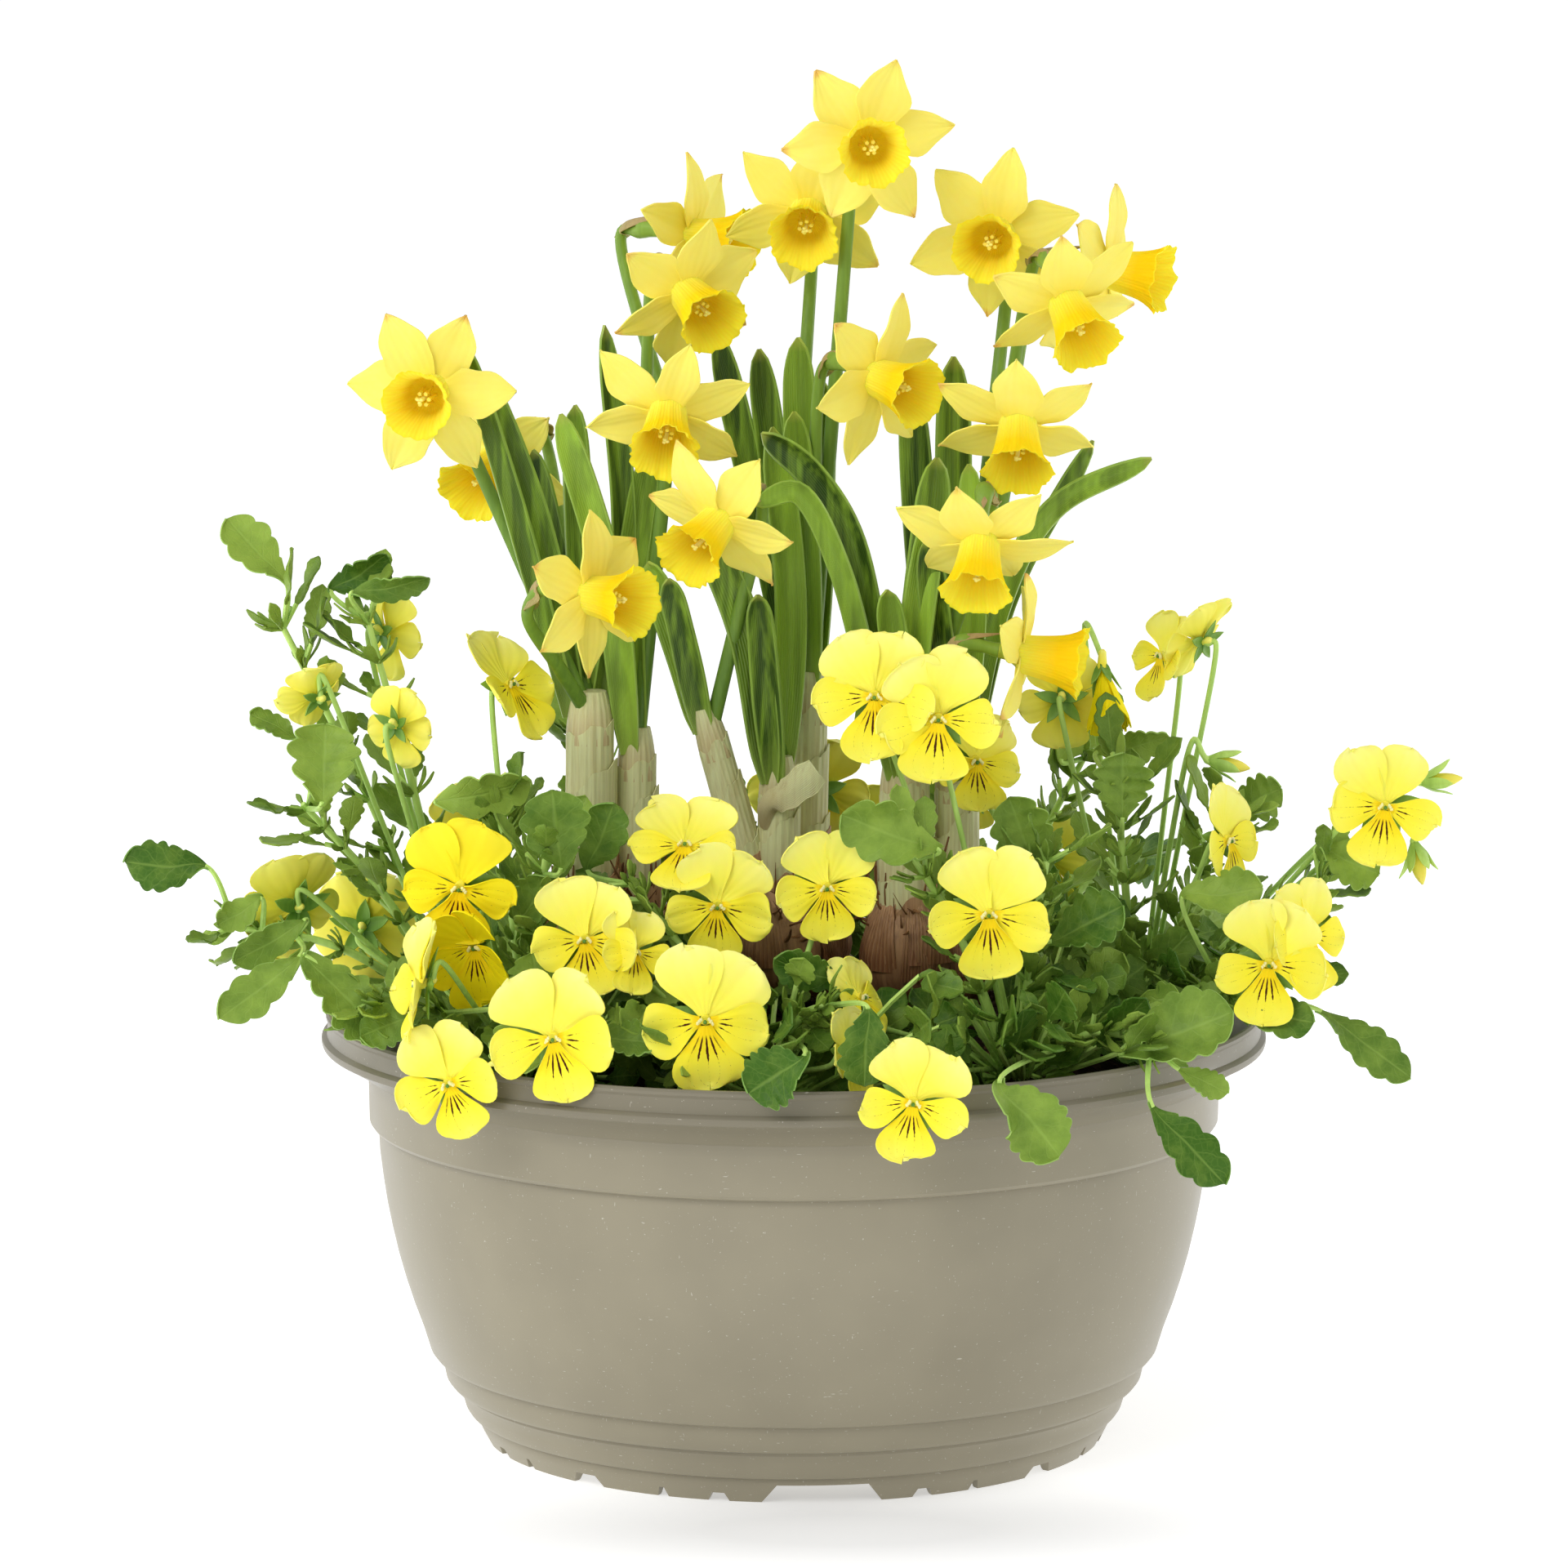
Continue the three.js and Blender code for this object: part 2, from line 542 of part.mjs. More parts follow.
// Leaves: plant, centre of the blade, length, width, spin in the front view, lean to the front, roll
const LEAVES = [
  ["left", [-152, -5, 255], 26, 13, 131, 0, 15],
  ["left", [-122.5, -6, 248], 20, 11, 30, 10, 50],
  ["left", [-113, -22, 246], 24, 9, 8, 15, 60],
  ["left", [-178, -15, 166], 25, 14, 178, 0, -25],
  ["left", [-156, -24, 155], 15, 9, 212, 10, -20],
  ["left", [-146, -50, 150], 24, 10, 212, 15, -35],
  ["left", [-148, -60, 139], 30, 12, 219, 15, -20],
  ["left", [-131, -44, 200], 24, 19, 88, -20, 5],
  ["left", [-147, -10, 206], 16, 8, 152, 0, 40],
  ["left_front", [-123, -74, 140], 34, 17, 318, 20, -25],
  ["left_front", [-86, -42, 189], 28, 14, 10, 10, 50],
  ["left_front", [-65, -80, 187], 24, 18, 95, 15, 0],
  ["left_front", [-72, -78, 166], 18, 12, 60, 20, 0],
  ["left_front", [-84, -110, 129], 18, 15, 285, 25, 0],
  ["left_front", [-110, -86, 134], 20, 12, 200, 20, 10],
  ["front", [-48, -72, 181], 22, 13, 70, 15, 0],
  ["front", [-46, -125, 132], 20, 10, 0, 20, -30],
  ["front", [-13.8, -138.5, 125.6], 19, 16, 215, 8, 0],
  ["front", [-77, -99, 146], 18, 15, 100, 10, 0],
  ["front", [4, -104, 150], 22, 11, 160, 20, -30],
  ["front", [14, -128, 133], 22, 14, 268, 15, 0],
  ["right_front", [26, -80, 186], 30, 17, 160, 15, -20],
  ["right_front", [64, -60, 180], 28, 16, 110, 10, 0],
  ["right_front", [80, -76, 160], 24, 16, 30, 15, -20],
  ["right_front", [104, -94, 134], 34, 20, 25, 15, -25],
  ["right_front", [111, -102, 121], 16, 8, 335, 10, -20],
  ["right_front", [107, -106, 104], 31, 13, 312, 8, 0],
  ["right_front", [63, -136, 117], 27, 17, 307, 8, 0],
  ["right", [92, -36, 192], 20, 16, 90, 10, 0],
  ["right", [96, -14, 200], 22, 10, 10, 5, 40],
  ["right", [131, -8, 184], 17, 13, 22, 0, 10],
  ["right", [157, -18, 168], 20, 13, 335, 0, 0],
  ["right", [126, -44, 164], 24, 13, 15, 20, -20],
  ["right", [134, -54, 131], 22, 12, 355, 20, -20],
  ["right", [159.5, -50, 121.5], 34, 12, 325, 5, -15],
  ["back_right", [84, 66, 196], 26, 16, 60, -30, 20],
  ["back_right", [104, 100, 150], 28, 16, 350, -40, 20],
  ["back_right", [44, 128, 138], 26, 16, 300, -50, 0],
  ["back_left", [-66, 90, 196], 26, 16, 120, -30, 20],
  ["back_left", [-108, 92, 146], 28, 16, 190, -40, 20],
  ["back_left", [-12, 130, 136], 26, 16, 260, -50, 0],
];

// A leaf's stations from its root to its tip: the stalk's width in millimetres up to where the blade
// starts, and then the blade's width as a share of its widest, with the scallops of its edge
const BLADE_STARTS = 0.4;
const LEAF_EDGE = [
  [0, 1.7],
  [0.36, 2.2],
  [0.48, 0.8],
  [0.57, 0.72],
  [0.7, 1],
  [0.88, 0.84],
  [1, 0.2],
];
const BLADE_EDGE = LEAF_EDGE.filter(([s]) => s >= BLADE_STARTS);

// Nodes that already stand, which later pieces keep clear of
const standing = [];
const boxOf = (body) => body.boundingBox();
const boxesMeet = (a, b) => [0, 1, 2].every((i) => a.min[i] <= b.max[i] && b.min[i] <= a.max[i]);

function isClear(body, except) {
  const box = boxOf(body);
  return standing.every(({ name, body: other, box: about }) => {
    return name === except || !boxesMeet(box, about) || body.intersect(other).isEmpty();
  });
}

function stand(name, body, colour) {
  standing.push({ name, body, box: boxOf(body), colour });
}

// Ways round: sideways moves that a stem or a leaf tries in turn
const MOVES = [
  [0, 0, 0],
  [0, -5, 0],
  [0, 5, 0],
  [-5, 0, 2],
  [5, 0, 2],
  [0, 0, 6],
  [0, 0, -5],
  [0, -10, 3],
  [0, 10, 3],
  [-9, 0, 4],
  [9, 0, 4],
  [-7, -7, 0],
  [7, -7, 0],
  [-7, 7, 0],
  [7, 7, 0],
];

const isFree = (body, others) => others.every((other) => body.intersect(other).isEmpty());

// The first variant that is clear by CLEAR all round, but for the bloom that it carries
function settle(variants, make, bloom) {
  return variants.find((variant) => isClear(make(variant, 2 * CLEAR), bloom) && isClear(make(variant, 0)));
}

const soilHeight = (radius) => {
  const k = SOIL_TOP.findIndex(([r]) => r <= radius);
  if (k <= 0) return SOIL_TOP[0][1];
  const [[r1, z1], [r0, z0]] = [SOIL_TOP[k - 1], SOIL_TOP[k]];
  return z0 + ((z1 - z0) * (radius - r0)) / (r1 - r0);
};

const crownBase = ({ crown: [x, y] }) => point([x, y, soilHeight(Math.hypot(x, y))]);

// Where a stem or a petiole leaves the crown: on the side that faces where it goes
function crownRoot(plant, goal) {
  const base = crownBase(plant);
  const level = goal.clone().sub(base).setZ(0);
  const share = Math.min(1, level.length() / 40);
  const steep = 0.35 + 0.5 * (1 - share);
  return base
    .addScaledVector(level.normalize(), 0.5 * CROWN.radius * share)
    .addScaledVector(UP, steep * CROWN.height);
}

function stemPoints(plant, tip, move) {
  const end = point(tip);
  const foot = crownRoot(plant, end);
  const middle = foot.clone().lerp(end, 0.5).add(point([0, 0, 6])).add(point(move));
  return [foot, middle, end];
}

function stem(points, extra) {
  const width = STEM_WIDTH + extra;
  const stations = [
    [0, width, width],
    [0.35, width, width],
    [0.7, 0.9 * width, 0.9 * width],
    [1, 0.6 * width, 0.6 * width],
  ];
  return solid(sweep(polygon(3), points, stations, [STEM_FACE]));
}

function pedicelPoints(plant, [, centre, aim], move) {
  const out = frameOut(facing(aim, centre));
  const level = out.clone().setZ(0).normalize();
  const end = point(centre).addScaledVector(out, -VIOLA_BACK - FIT);
  const back = end.clone().addScaledVector(out, -3);
  const overRim = Math.hypot(centre[0], centre[1]) > RIM_RADIUS;
  const nod = Math.max(0, -out.z - 0.5);
  const crook = back
    .clone()
    .addScaledVector(level, -3 - 20 * nod)
    .addScaledVector(UP, overRim || nod ? 6 : -4);
  const foot = crownRoot(plant, crook);
  const middle = foot.clone().lerp(crook, 0.55).add(point(move));
  return [foot, middle, crook, back, end];
}

function pedicel(points, extra) {
  const width = PEDICEL_WIDTH + extra;
  const stations = [
    [0, width, width],
    [0.32, width, width],
    [0.66, width, width],
    [1, 3.2, 3.2],
  ];
  return solid(sweep(polygon(3), points, stations, [STEM_FACE]));
}

// A bud's stalk rises past it, turns over and becomes the bud
function budPoints(plant, [, centre, aim], move) {
  const out = point(aim).normalize();
  const [back, tip] = [-0.5, 0.5].map((share) => point(centre).addScaledVector(out, share * BUD.length));
  const crook = back.clone().addScaledVector(out, -5).add(point([0, 0, 3 - 4 * out.z]));
  const foot = crownRoot(plant, crook);
  const middle = foot.clone().lerp(crook, 0.55).add(point([0, 0, 5])).add(point(move));
  return [foot, middle, crook, back, tip];
}

function bud(points, extra) {
  const stations = [
    [0, PEDICEL_WIDTH, PEDICEL_WIDTH],
    [0.38, PEDICEL_WIDTH, PEDICEL_WIDTH],
    [0.74, PEDICEL_WIDTH, PEDICEL_WIDTH],
    [0.87, BUD.width, BUD.width],
    [1, 1, 1],
  ].map(([s, width, depth]) => [s, width + extra, depth + extra]);
  return solid(sweep(polygon(BUD.sides), points, stations, [STEM_FACE]));
}

// A leaf's own directions: along the blade, and out of its face
function leafAxes(spin, lean, roll) {
  const [a, b] = [radians(spin), radians(lean)];
  const along = point([Math.cos(a) * Math.cos(b), -Math.sin(b), Math.sin(a) * Math.cos(b)]);
  const face = FRONT.clone().addScaledVector(along, -FRONT.dot(along)).normalize();
  return { along, face: face.applyAxisAngle(along, radians(roll)) };
}

// Where a leaf leaves its plant: the nearest point of a stem or of the crown that lies below it
function rootOf(plant, stems, at) {
  const spots = [crownRoot(plant, at)];
  for (const points of stems) {
    const curve = route(points);
    for (const s of [0.3, 0.5, 0.7, 0.85, 0.97]) spots.push(curve.getPoint(s));
  }
  const cost = (spot) => spot.distanceTo(at) + 2 * Math.max(0, spot.z - at.z);
  return spots.reduce((best, spot) => (cost(spot) < cost(best) ? spot : best));
}

function leafPoints(plant, stems, [, centre, length, , ...turns], move) {
  const { along, face } = leafAxes(...turns);
  const middle = point(centre).add(point(move));
  const base = middle.clone().addScaledVector(along, -length / 2);
  const tip = middle.clone().addScaledVector(along, length / 2).addScaledVector(face, -0.08 * length);
  return { points: [rootOf(plant, stems, base), base, middle, tip], face };
}

function leaf({ points, face }, width, edge, extra) {
  const stations = edge.map(([s, w]) => {
    const onStalk = s < BLADE_STARTS;
    return [s, (onStalk ? w : w * width) + extra, (onStalk ? STALK : BLADE) + extra];
  });
  return solid(sweep(FLAT, points, stations, [point([0, -0.4, 1]), face]));
}

function plantBody(name) {
  const plant = PLANTS[name];
  const { radius, sunk, height, sides } = CROWN;
  const profile = [[0, -sunk], [radius, -sunk], [radius, 2], [0.6 * radius, height], [0, height]];
  const bodies = [revolve(profile, sides).translate(crownBase(plant).toArray())];
  const grow = (variants, make, bloom) => {
    const open = variants.filter((variant) => !make.blade || isFree(make.blade(variant), bodies));
    const found = settle([...open, ...variants], make, bloom);
    if (found) bodies.push(make(found, 0));
    return found;
  };
  const stems = plant.stems
    .map((tip) => grow(MOVES.map((move) => stemPoints(plant, tip, move)), stem))
    .filter(Boolean);
  for (const row of VIOLAS.filter(([of]) => of === name)) {
    grow(MOVES.map((move) => pedicelPoints(plant, row, move)), pedicel, "viola_" + row[4]);
  }
  for (const row of BUDS.filter(([of]) => of === name)) {
    grow(MOVES.map((move) => budPoints(plant, row, move)), bud);
  }
  for (const row of LEAVES.filter(([of]) => of === name)) {
    const make = (variant, extra) => leaf(variant, row[3], LEAF_EDGE, extra);
    make.blade = (variant) => leaf(variant, row[3], BLADE_EDGE, CLEAR);
    grow(MOVES.map((move) => leafPoints(plant, stems, row, move)), make);
  }
  return whole(fuse(bodies));
}

// Growing mix with a plain hole for each crown and each bulb
function soil() {
  const inner = INSIDE.slice(1).map(([radius, height]) => [0.99 * radius - FIT, height + FIT]);
  const rim = inner.filter(([, height]) => height < SOIL_TOP[0][1] - 4).reverse();
  let body = revolve([[0, FLOOR_TOP + FIT], ...rim, ...SOIL_TOP], SOIL_SIDES);
  for (const clump of Object.values(BULBS)) {
    for (const { at, radius } of clump) {
      body = body.subtract(revolve(bulbProfile(radius, 2 * FIT), BULB_SIDES).translate(at));
    }
  }
  for (const plant of Object.values(PLANTS)) {
    const foot = crownBase(plant).toArray();
    const { radius, sunk, sides } = CROWN;
    const hole = [[0, -sunk - FIT], [radius + 2 * FIT, -sunk - FIT], [radius + 2 * FIT, 14], [0, 14]];
    body = body.subtract(revolve(hole, sides).translate(foot));
  }
  return whole(body);
}

stand("bowl", bowl(), "bowl");
stand("soil", soil(), "soil");
for (const clump of Object.keys(BULBS)) stand("bulbs_" + clump, bulbClump(clump), "bulb");

const heads = (rows, make, prefix, colour) => {
  for (const name of new Set(rows.map((row) => row[4]))) {
    stand(prefix + name, fuse(rows.filter((row) => row[4] === name).map(make)), colour);
  }
};
heads(DAFFODILS, daffodil, "daffodil_", "daffodil");
heads(VIOLAS, viola, "viola_", "viola");

for (const [name, necks] of Object.entries(SHOOTS)) stand("shoot_" + name, shoot(necks), "strap");
for (const name of Object.keys(PLANTS)) stand("plant_" + name, plantBody(name), "leaf");

const planter = new THREE.Group();
for (const { name, body, colour } of standing) {
  const [color, roughness] = COLOURS[colour];
  const mesh = new THREE.Mesh(
    surface(body),
    new THREE.MeshStandardMaterial({ color, roughness, metalness: 0 }),
  );
  mesh.name = name;
  planter.add(mesh);
}

export default planter;
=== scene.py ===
# A moulded bowl planted with miniature daffodils in the middle and small pansies round the edge.
# Lengths are in millimetres until a piece is finished, +Z is up and -Y is the front.

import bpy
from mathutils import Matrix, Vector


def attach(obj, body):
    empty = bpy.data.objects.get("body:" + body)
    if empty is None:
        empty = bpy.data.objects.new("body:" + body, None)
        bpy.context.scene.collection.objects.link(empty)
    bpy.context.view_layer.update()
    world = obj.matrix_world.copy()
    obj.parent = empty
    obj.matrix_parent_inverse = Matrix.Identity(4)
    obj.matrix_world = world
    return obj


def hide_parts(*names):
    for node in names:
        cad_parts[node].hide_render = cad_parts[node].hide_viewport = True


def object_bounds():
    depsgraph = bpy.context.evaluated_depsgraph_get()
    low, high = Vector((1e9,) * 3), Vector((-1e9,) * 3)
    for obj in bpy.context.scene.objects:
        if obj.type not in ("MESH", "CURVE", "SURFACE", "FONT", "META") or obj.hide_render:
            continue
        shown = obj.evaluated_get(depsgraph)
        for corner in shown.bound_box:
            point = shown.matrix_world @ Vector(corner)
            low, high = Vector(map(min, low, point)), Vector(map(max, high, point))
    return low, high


bl_info = {
    "name": "Daffodil and Pansy Bowl",
    "version": (1, 0, 0),
    "blender": (4, 5, 0),
    "location": "3D View > Sidebar > Planter",
    "description": "Adds a moulded bowl with daffodils, pansies, their foliage and a plain studio",
    "category": "Add Mesh",
}

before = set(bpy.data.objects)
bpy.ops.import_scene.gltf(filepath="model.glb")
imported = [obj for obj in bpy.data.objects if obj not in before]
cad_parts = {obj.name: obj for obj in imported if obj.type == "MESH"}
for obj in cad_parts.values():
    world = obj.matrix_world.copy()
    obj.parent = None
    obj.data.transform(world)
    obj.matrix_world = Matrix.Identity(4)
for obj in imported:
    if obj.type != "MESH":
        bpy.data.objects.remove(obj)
CAD_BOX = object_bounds()

import math
import random

import bmesh
import bpy
from mathutils import Matrix, Vector, kdtree, noise
from mathutils.bvhtree import BVHTree

MM = 0.001
UP = Vector((0, 0, 1))
FRONT = Vector((0, -1, 0))
STALK_FACE = Vector((0, -0.4, 1))

# Bowl: the outside from the foot to the rim, and the inside back down, as radius and height
BOWL_OUTSIDE = (
    (89, 0), (91, 4.1), (91.9, 6.3), (91.9, 7.1), (93.8, 7.8), (94.6, 9), (95.3, 11.4), (96.4, 14), (97, 14.9),
    (97, 15.7), (99.2, 16.4), (100.1, 17.6), (100.6, 20), (101.4, 22.6), (101.5, 23.8), (103.6, 24.6),
    (104.6, 25.9), (106.7, 32.8), (109.3, 39.9), (111.6, 47.1), (113.6, 54.3), (115.2, 61.4), (116.6, 68.6),
    (117.7, 76), (118.6, 83.5), (118.9, 89.6), (118.8, 90.8), (120.8, 91.5), (121.5, 92.5), (121.6, 98),
    (121.7, 104.8), (122.2, 106.6), (127.8, 110.4), (133.4, 113.7), (134.7, 114.3), (135, 115.3), (134.9, 116.2),
    (134.3, 116.8), (133.5, 117.2), (133.3, 118.2), (133.2, 121.4), (133.7, 122.2), (133.7, 123), (133.1, 123.7),
)
BOWL_INSIDE = (
    (132.3, 123.7), (131.5, 123), (126.4, 115), (120.4, 106.4), (119.2, 103.6), (117, 84), (114, 66), (111, 55),
    (107.4, 44), (102.6, 33), (97.6, 22), (92.6, 12.6), (90, 9.4), (86, 8.5),
)
# The floor's top and underside, the foot ring's inner radius, and which way its first arch faces
FLOOR = (8.5, 6.3)
FOOT_INNER = 86.8
ARCH_AZIMUTH = -85
# Cuts in a quarter of the foot: each one's angle, its width at the ground and at its top, and its height
FOOT_CUTS = (
    (0, 34, 25.5, 5.4), (-18.5, 6.5, 3.6, 2.5), (18.5, 6.5, 3.6, 2.5), (-29, 3.6, 1.4, 2.8), (29, 3.6, 1.4, 2.8),
    (45, 11.5, 7, 3.2),
)
CUT_RADIUS = 89
CUT_DEPTH = 16
DRAIN = {"count": 4, "radius": 4, "reach": 62, "angle": 45}

# Growing mix: its domed top, then its edge, side and underside, as radius and height
MIX_TOP = ((116, 106), (92, 113.5), (48, 124.5), (0, 129.5))
MIX_SIDE = ((116.5, 105.5), (114, 92), (108, 50), (86, 9.2), (0, 9.2))

# Bulbs in three clumps, how far each reaches below and above its place, and the papery necks on them
BULBS = {
    "left": ({"at": (-58, -20, 142), "radius": 13}, {"at": (-45, -14, 140), "radius": 12}),
    "centre": ({"at": (-6, -25, 144), "radius": 14}, {"at": (3, -6, 143), "radius": 12.5}),
    "right": ({"at": (32, -22, 142), "radius": 13}, {"at": (46, -15, 140), "radius": 11.5}),
}
BULB_BELOW = 18
BULB_ABOVE = 21
NECKS = {
    "s1": {"clump": "left", "foot": (-58, -20, 152), "top": (-57.5, -20, 208), "width": 14.5},
    "s2": {"clump": "left", "foot": (-45, -14, 150), "top": (-44.5, -14.5, 197), "width": 12},
    "s3": {"clump": "centre", "foot": (-8, -25, 150), "top": (-23, -25, 204), "width": 10},
    "s4": {"clump": "centre", "foot": (-5, -25, 150), "top": (-4.5, -24, 190), "width": 12},
    "s5": {"clump": "centre", "foot": (3, -6, 150), "top": (4.5, -7, 212), "width": 11},
    "s6": {"clump": "right", "foot": (32, -22, 150), "top": (31, -21, 191), "width": 15},
    "s7": {"clump": "right", "foot": (46, -15, 150), "top": (45.5, -16, 191), "width": 12.5},
}

# How far above its neck's top a leaf or a stem starts
OUT_OF_NECK = 1.8

# Strap leaves: neck, width, and the points above the neck, tip last
STRAPS = (
    ("s1", 6.5, ((-78, -21, 268), (-92, -24, 315))),
    ("s1", 7.5, ((-71, -13, 262), (-87, -10, 306))),
    ("s1", 7, ((-48, -12, 258), (-53, -8, 319))),
    ("s1", 8.5, ((-66, -8, 246), (-74, 0, 283))),
    ("s1", 8, ((-60, -10, 254), (-62, -3, 296))),
    ("s2", 9, ((-52, -27, 250), (-65, -32, 296))),
    ("s2", 9.5, ((-46, -14, 242), (-40, -10, 285))),
    ("s3", 9.5, ((-32, -25, 230), (-41, -27, 254))),
    ("s3", 8, ((-30, -29, 228), (-35, -33, 250))),
    ("s4", 10.5, ((-13, -31, 234), (-29, -30, 273))),
    ("s4", 8, ((-8, -33, 222), (-10, -38, 246))),
    ("s4", 9.5, ((-1, -20, 242), (-6, -16, 291))),
    ("s5", 10, ((3, -3, 265), (1, -2, 315))),
    ("s5", 9, ((-3, 2, 262), (-10, 7, 311))),
    ("s5", 9, ((3, -12, 255), (0, -13, 295))),
    ("s5", 8.5, ((7, 2, 258), (8, 5, 302))),
    ("s5", 9, ((-9, 4, 262), (-22, 10, 316))),
    ("s6", 8.5, ((23, -27, 228), (16, -29, 260), (5, -32, 279), (-9, -36, 291))),
    ("s6", 6.5, ((21, -31, 222), (13, -33, 252), (2, -36, 274), (-11, -40, 272))),
    ("s6", 11, ((35, -24, 238), (40, -24, 283))),
    ("s6", 9.5, ((33, -36, 228), (39, -38, 270))),
    ("s6", 8.5, ((29, -38, 222), (26, -42, 248))),
    ("s7", 9, ((41, -32, 226), (37, -40, 262))),
    ("s7", 10.5, ((45, -8, 250), (45, -7, 310))),
    ("s7", 10, ((37, -6, 248), (33, -1, 302))),
    ("s7", 6.5, ((58, -12, 240), (73, -14, 268), (101, -6, 281))),
    ("s7", 6, ((60, -6, 240), (85, 8, 285))),
    ("s7", 8, ((50, -20, 240), (49, -21, 281))),
)

# Daffodils: neck, centre of the tepals, (yaw, pitch, roll), how far the tepals bend back, name, sway
DAFFODILS = (
    ("s5", (19.9, -18, 371), (8, -8, -23), 1, "top"),
    ("s4", (4, 12, 349), (-5, -20, -13), 1, "top_back", (0, 8, 0)),
    ("s4", (-29, 34, 341), (60, -5, 10), 2, "left_back", (0, 10, 0)),
    ("s2", (-30, -8, 328), (30, -25, 0), 2, "left", (0, 6, 0)),
    ("s2", (-35, -38, 297), (-3, -35, -13), 3, "front_left"),
    ("s3", (-21, -52, 268), (-35, -30, 15), 4, "front_left_low"),
    ("s1", (-101, -28, 302), (-12, -8, 29), 2, "far_left"),
    ("s1", (-84, 22, 278), (-40, -30, 0), 3, "far_left_back"),
    ("s1", (-56, -62, 249), (50, -3, 5), 1, "low_left"),
    ("s5", (23, -29, 306), (45, -12, -12), 1, "centre"),
    ("s7", (57, -2, 344), (-12, -10, -15), 2, "right"),
    ("s7", (75.5, -30, 327), (25, -40, 20), 4, "right_low", (0, 12, 0)),
    ("s7", (89, 16, 333), (68, -8, 0), 3, "far_right", (0, 8, 0)),
    ("s7", (62, -41, 294), (-3, -45, 0), 5, "front_right", (0, 6, 0)),
    ("s6", (51, -66, 264), (-8, -50, 15), 5, "front_right_low"),
    ("s6", (63, -48, 231), (80, -8, 10), 3, "low_right"),
)

# Pansies: plant, centre, (yaw, pitch, roll), size, and the cluster's name
PANSIES = (
    ("left", (-115, 5, 230), (130, -10, 0), 0.75, "v01"),
    ("left", (-135, -20, 216), (-150, 20, 0), 0.65, "v02"),
    ("left", (-110, -30, 208), (150, -10, 0), 0.65, "v03"),
    ("left", (-142, -15, 155), (-150, 10, 0), 1, "v10"),
    ("left", (-124, 20, 143), (175, 0, 0), 1, "v12"),
    ("left_front", (-78.5, -35, 221), (60, 25, 0), 1, "v04"),
    ("left_front", (-91.6, -85, 171), (-10, -20, -5), 1.05, "v05"),
    ("left_front", (-88, -81, 154), (-20, -35, 10), 0.9, "v05"),
    ("left_front", (-103, -100, 147), (-80, 0, 0), 1, "v08"),
    ("left_front", (-94, -108, 121), (-15, -15, 22), 0.95, "v08"),
    ("left_front", (-65, -121, 136), (-8, -5, 8), 1.1, "v13"),
    ("front", (-57, -98, 159), (-5, 0, 5), 0.95, "v14"),
    ("front", (-43, -100, 156), (15, 5, -5), 0.65, "v14"),
    ("front", (-30, -75, 182), (-5, 40, 0), 0.95, "v16"),
    ("front", (-21, -85, 166), (0, -10, 0), 0.95, "v16"),
    ("front", (-24, -119, 140.5), (0, 0, 0), 1.1, "v18"),
    ("front", (9, -84, 171), (5, -5, 0), 0.9, "v19"),
    ("front", (16, -116, 131), (60, 0, 0), 0.7, "v21"),
    ("right_front", (19, -96, 143), (60, 20, 0), 0.7, "v20"),
    ("right_front", (31.6, -140, 122), (0, -5, -6), 0.95, "v22"),
    ("right_front", (53, -92, 165), (0, 0, 0), 1.05, "v23"),
    ("right_front", (22, -70, 222), (-5, 0, 0), 1.05, "v24"),
    ("right_front", (39.5, -72, 216), (0, -5, 0), 1.05, "v24"),
    ("right", (51, -42, 200), (15, 0, 0), 0.8, "v26"),
    ("right", (76, -10, 213), (175, -10, 0), 0.8, "v30"),
    ("right", (87, -16, 222), (20, -75, 0), 0.7, "v30"),
    ("right", (104, 4, 224), (-60, 10, 0), 0.75, "v32"),
    ("right", (114, 2, 229), (-130, 15, 0), 0.75, "v32"),
    ("right", (122, -40, 177.5), (60, 0, 0), 0.9, "v34"),
    ("right", (166, -30, 185.5), (0, 0, -5), 1, "v35"),
    ("right", (131.5, -62, 146), (-5, -5, 0), 1, "v36"),
    ("right", (144, -55, 153), (40, 0, 0), 0.9, "v36"),
    ("back_right", (52, 30, 180), (170, 0, 0), 0.6, "v28"),
    ("back_right", (76, 92, 152), (150, 5, 0), 0.95, "v41"),
    ("back_right", (24, 122, 154), (180, 5, 0), 1, "v42"),
    ("back_left", (8, 48, 179), (170, 0, 0), 0.95, "v27"),
    ("back_right", (2, 120, 168), (175, 5, 0), 1, "v42"),
    ("back_left", (-96, 92, 160), (-140, 5, 0), 1, "v44"),
)

# Pansy plants: where each crown stands, and the tips of its leafy stems
CROWN_HEIGHT = 13
PLANTS = {
    "left": {"crown": (-92, 4), "stems": ((-146, -6, 236), (-121, -10, 238), (-138, -28, 186), (-160, -20, 150))},
    "left_front": {"crown": (-74, -60), "stems": ((-82, -46, 186), (-68, -78, 180), (-118, -76, 138))},
    "front": {"crown": (-8, -92), "stems": ((-46, -76, 172), (10, -102, 142), (-30, -110, 128))},
    "right_front": {"crown": (62, -66), "stems": ((32, -82, 180), (70, -62, 176), (98, -94, 130))},
    "right": {"crown": (98, -4), "stems": ((90, -32, 194), (124, -16, 182), (150, -22, 164), (130, -50, 134))},
    "back_right": {"crown": (56, 74), "stems": ((86, 60, 188), (40, 104, 158), (96, 96, 150))},
    "back_left": {"crown": (-48, 82), "stems": ((-62, 84, 190), (-16, 106, 158), (-100, 78, 150))},
}

# Buds: plant, centre and the way that the tip points
BUDS = (
    ("right", (123, -15, 195.3), (1, 0, -0.2)),
    ("right", (176.4, -20, 167.6), (0.2, -0.3, -1)),
    ("right", (184, -5, 189.4), (1, 0, 0.1)),
)

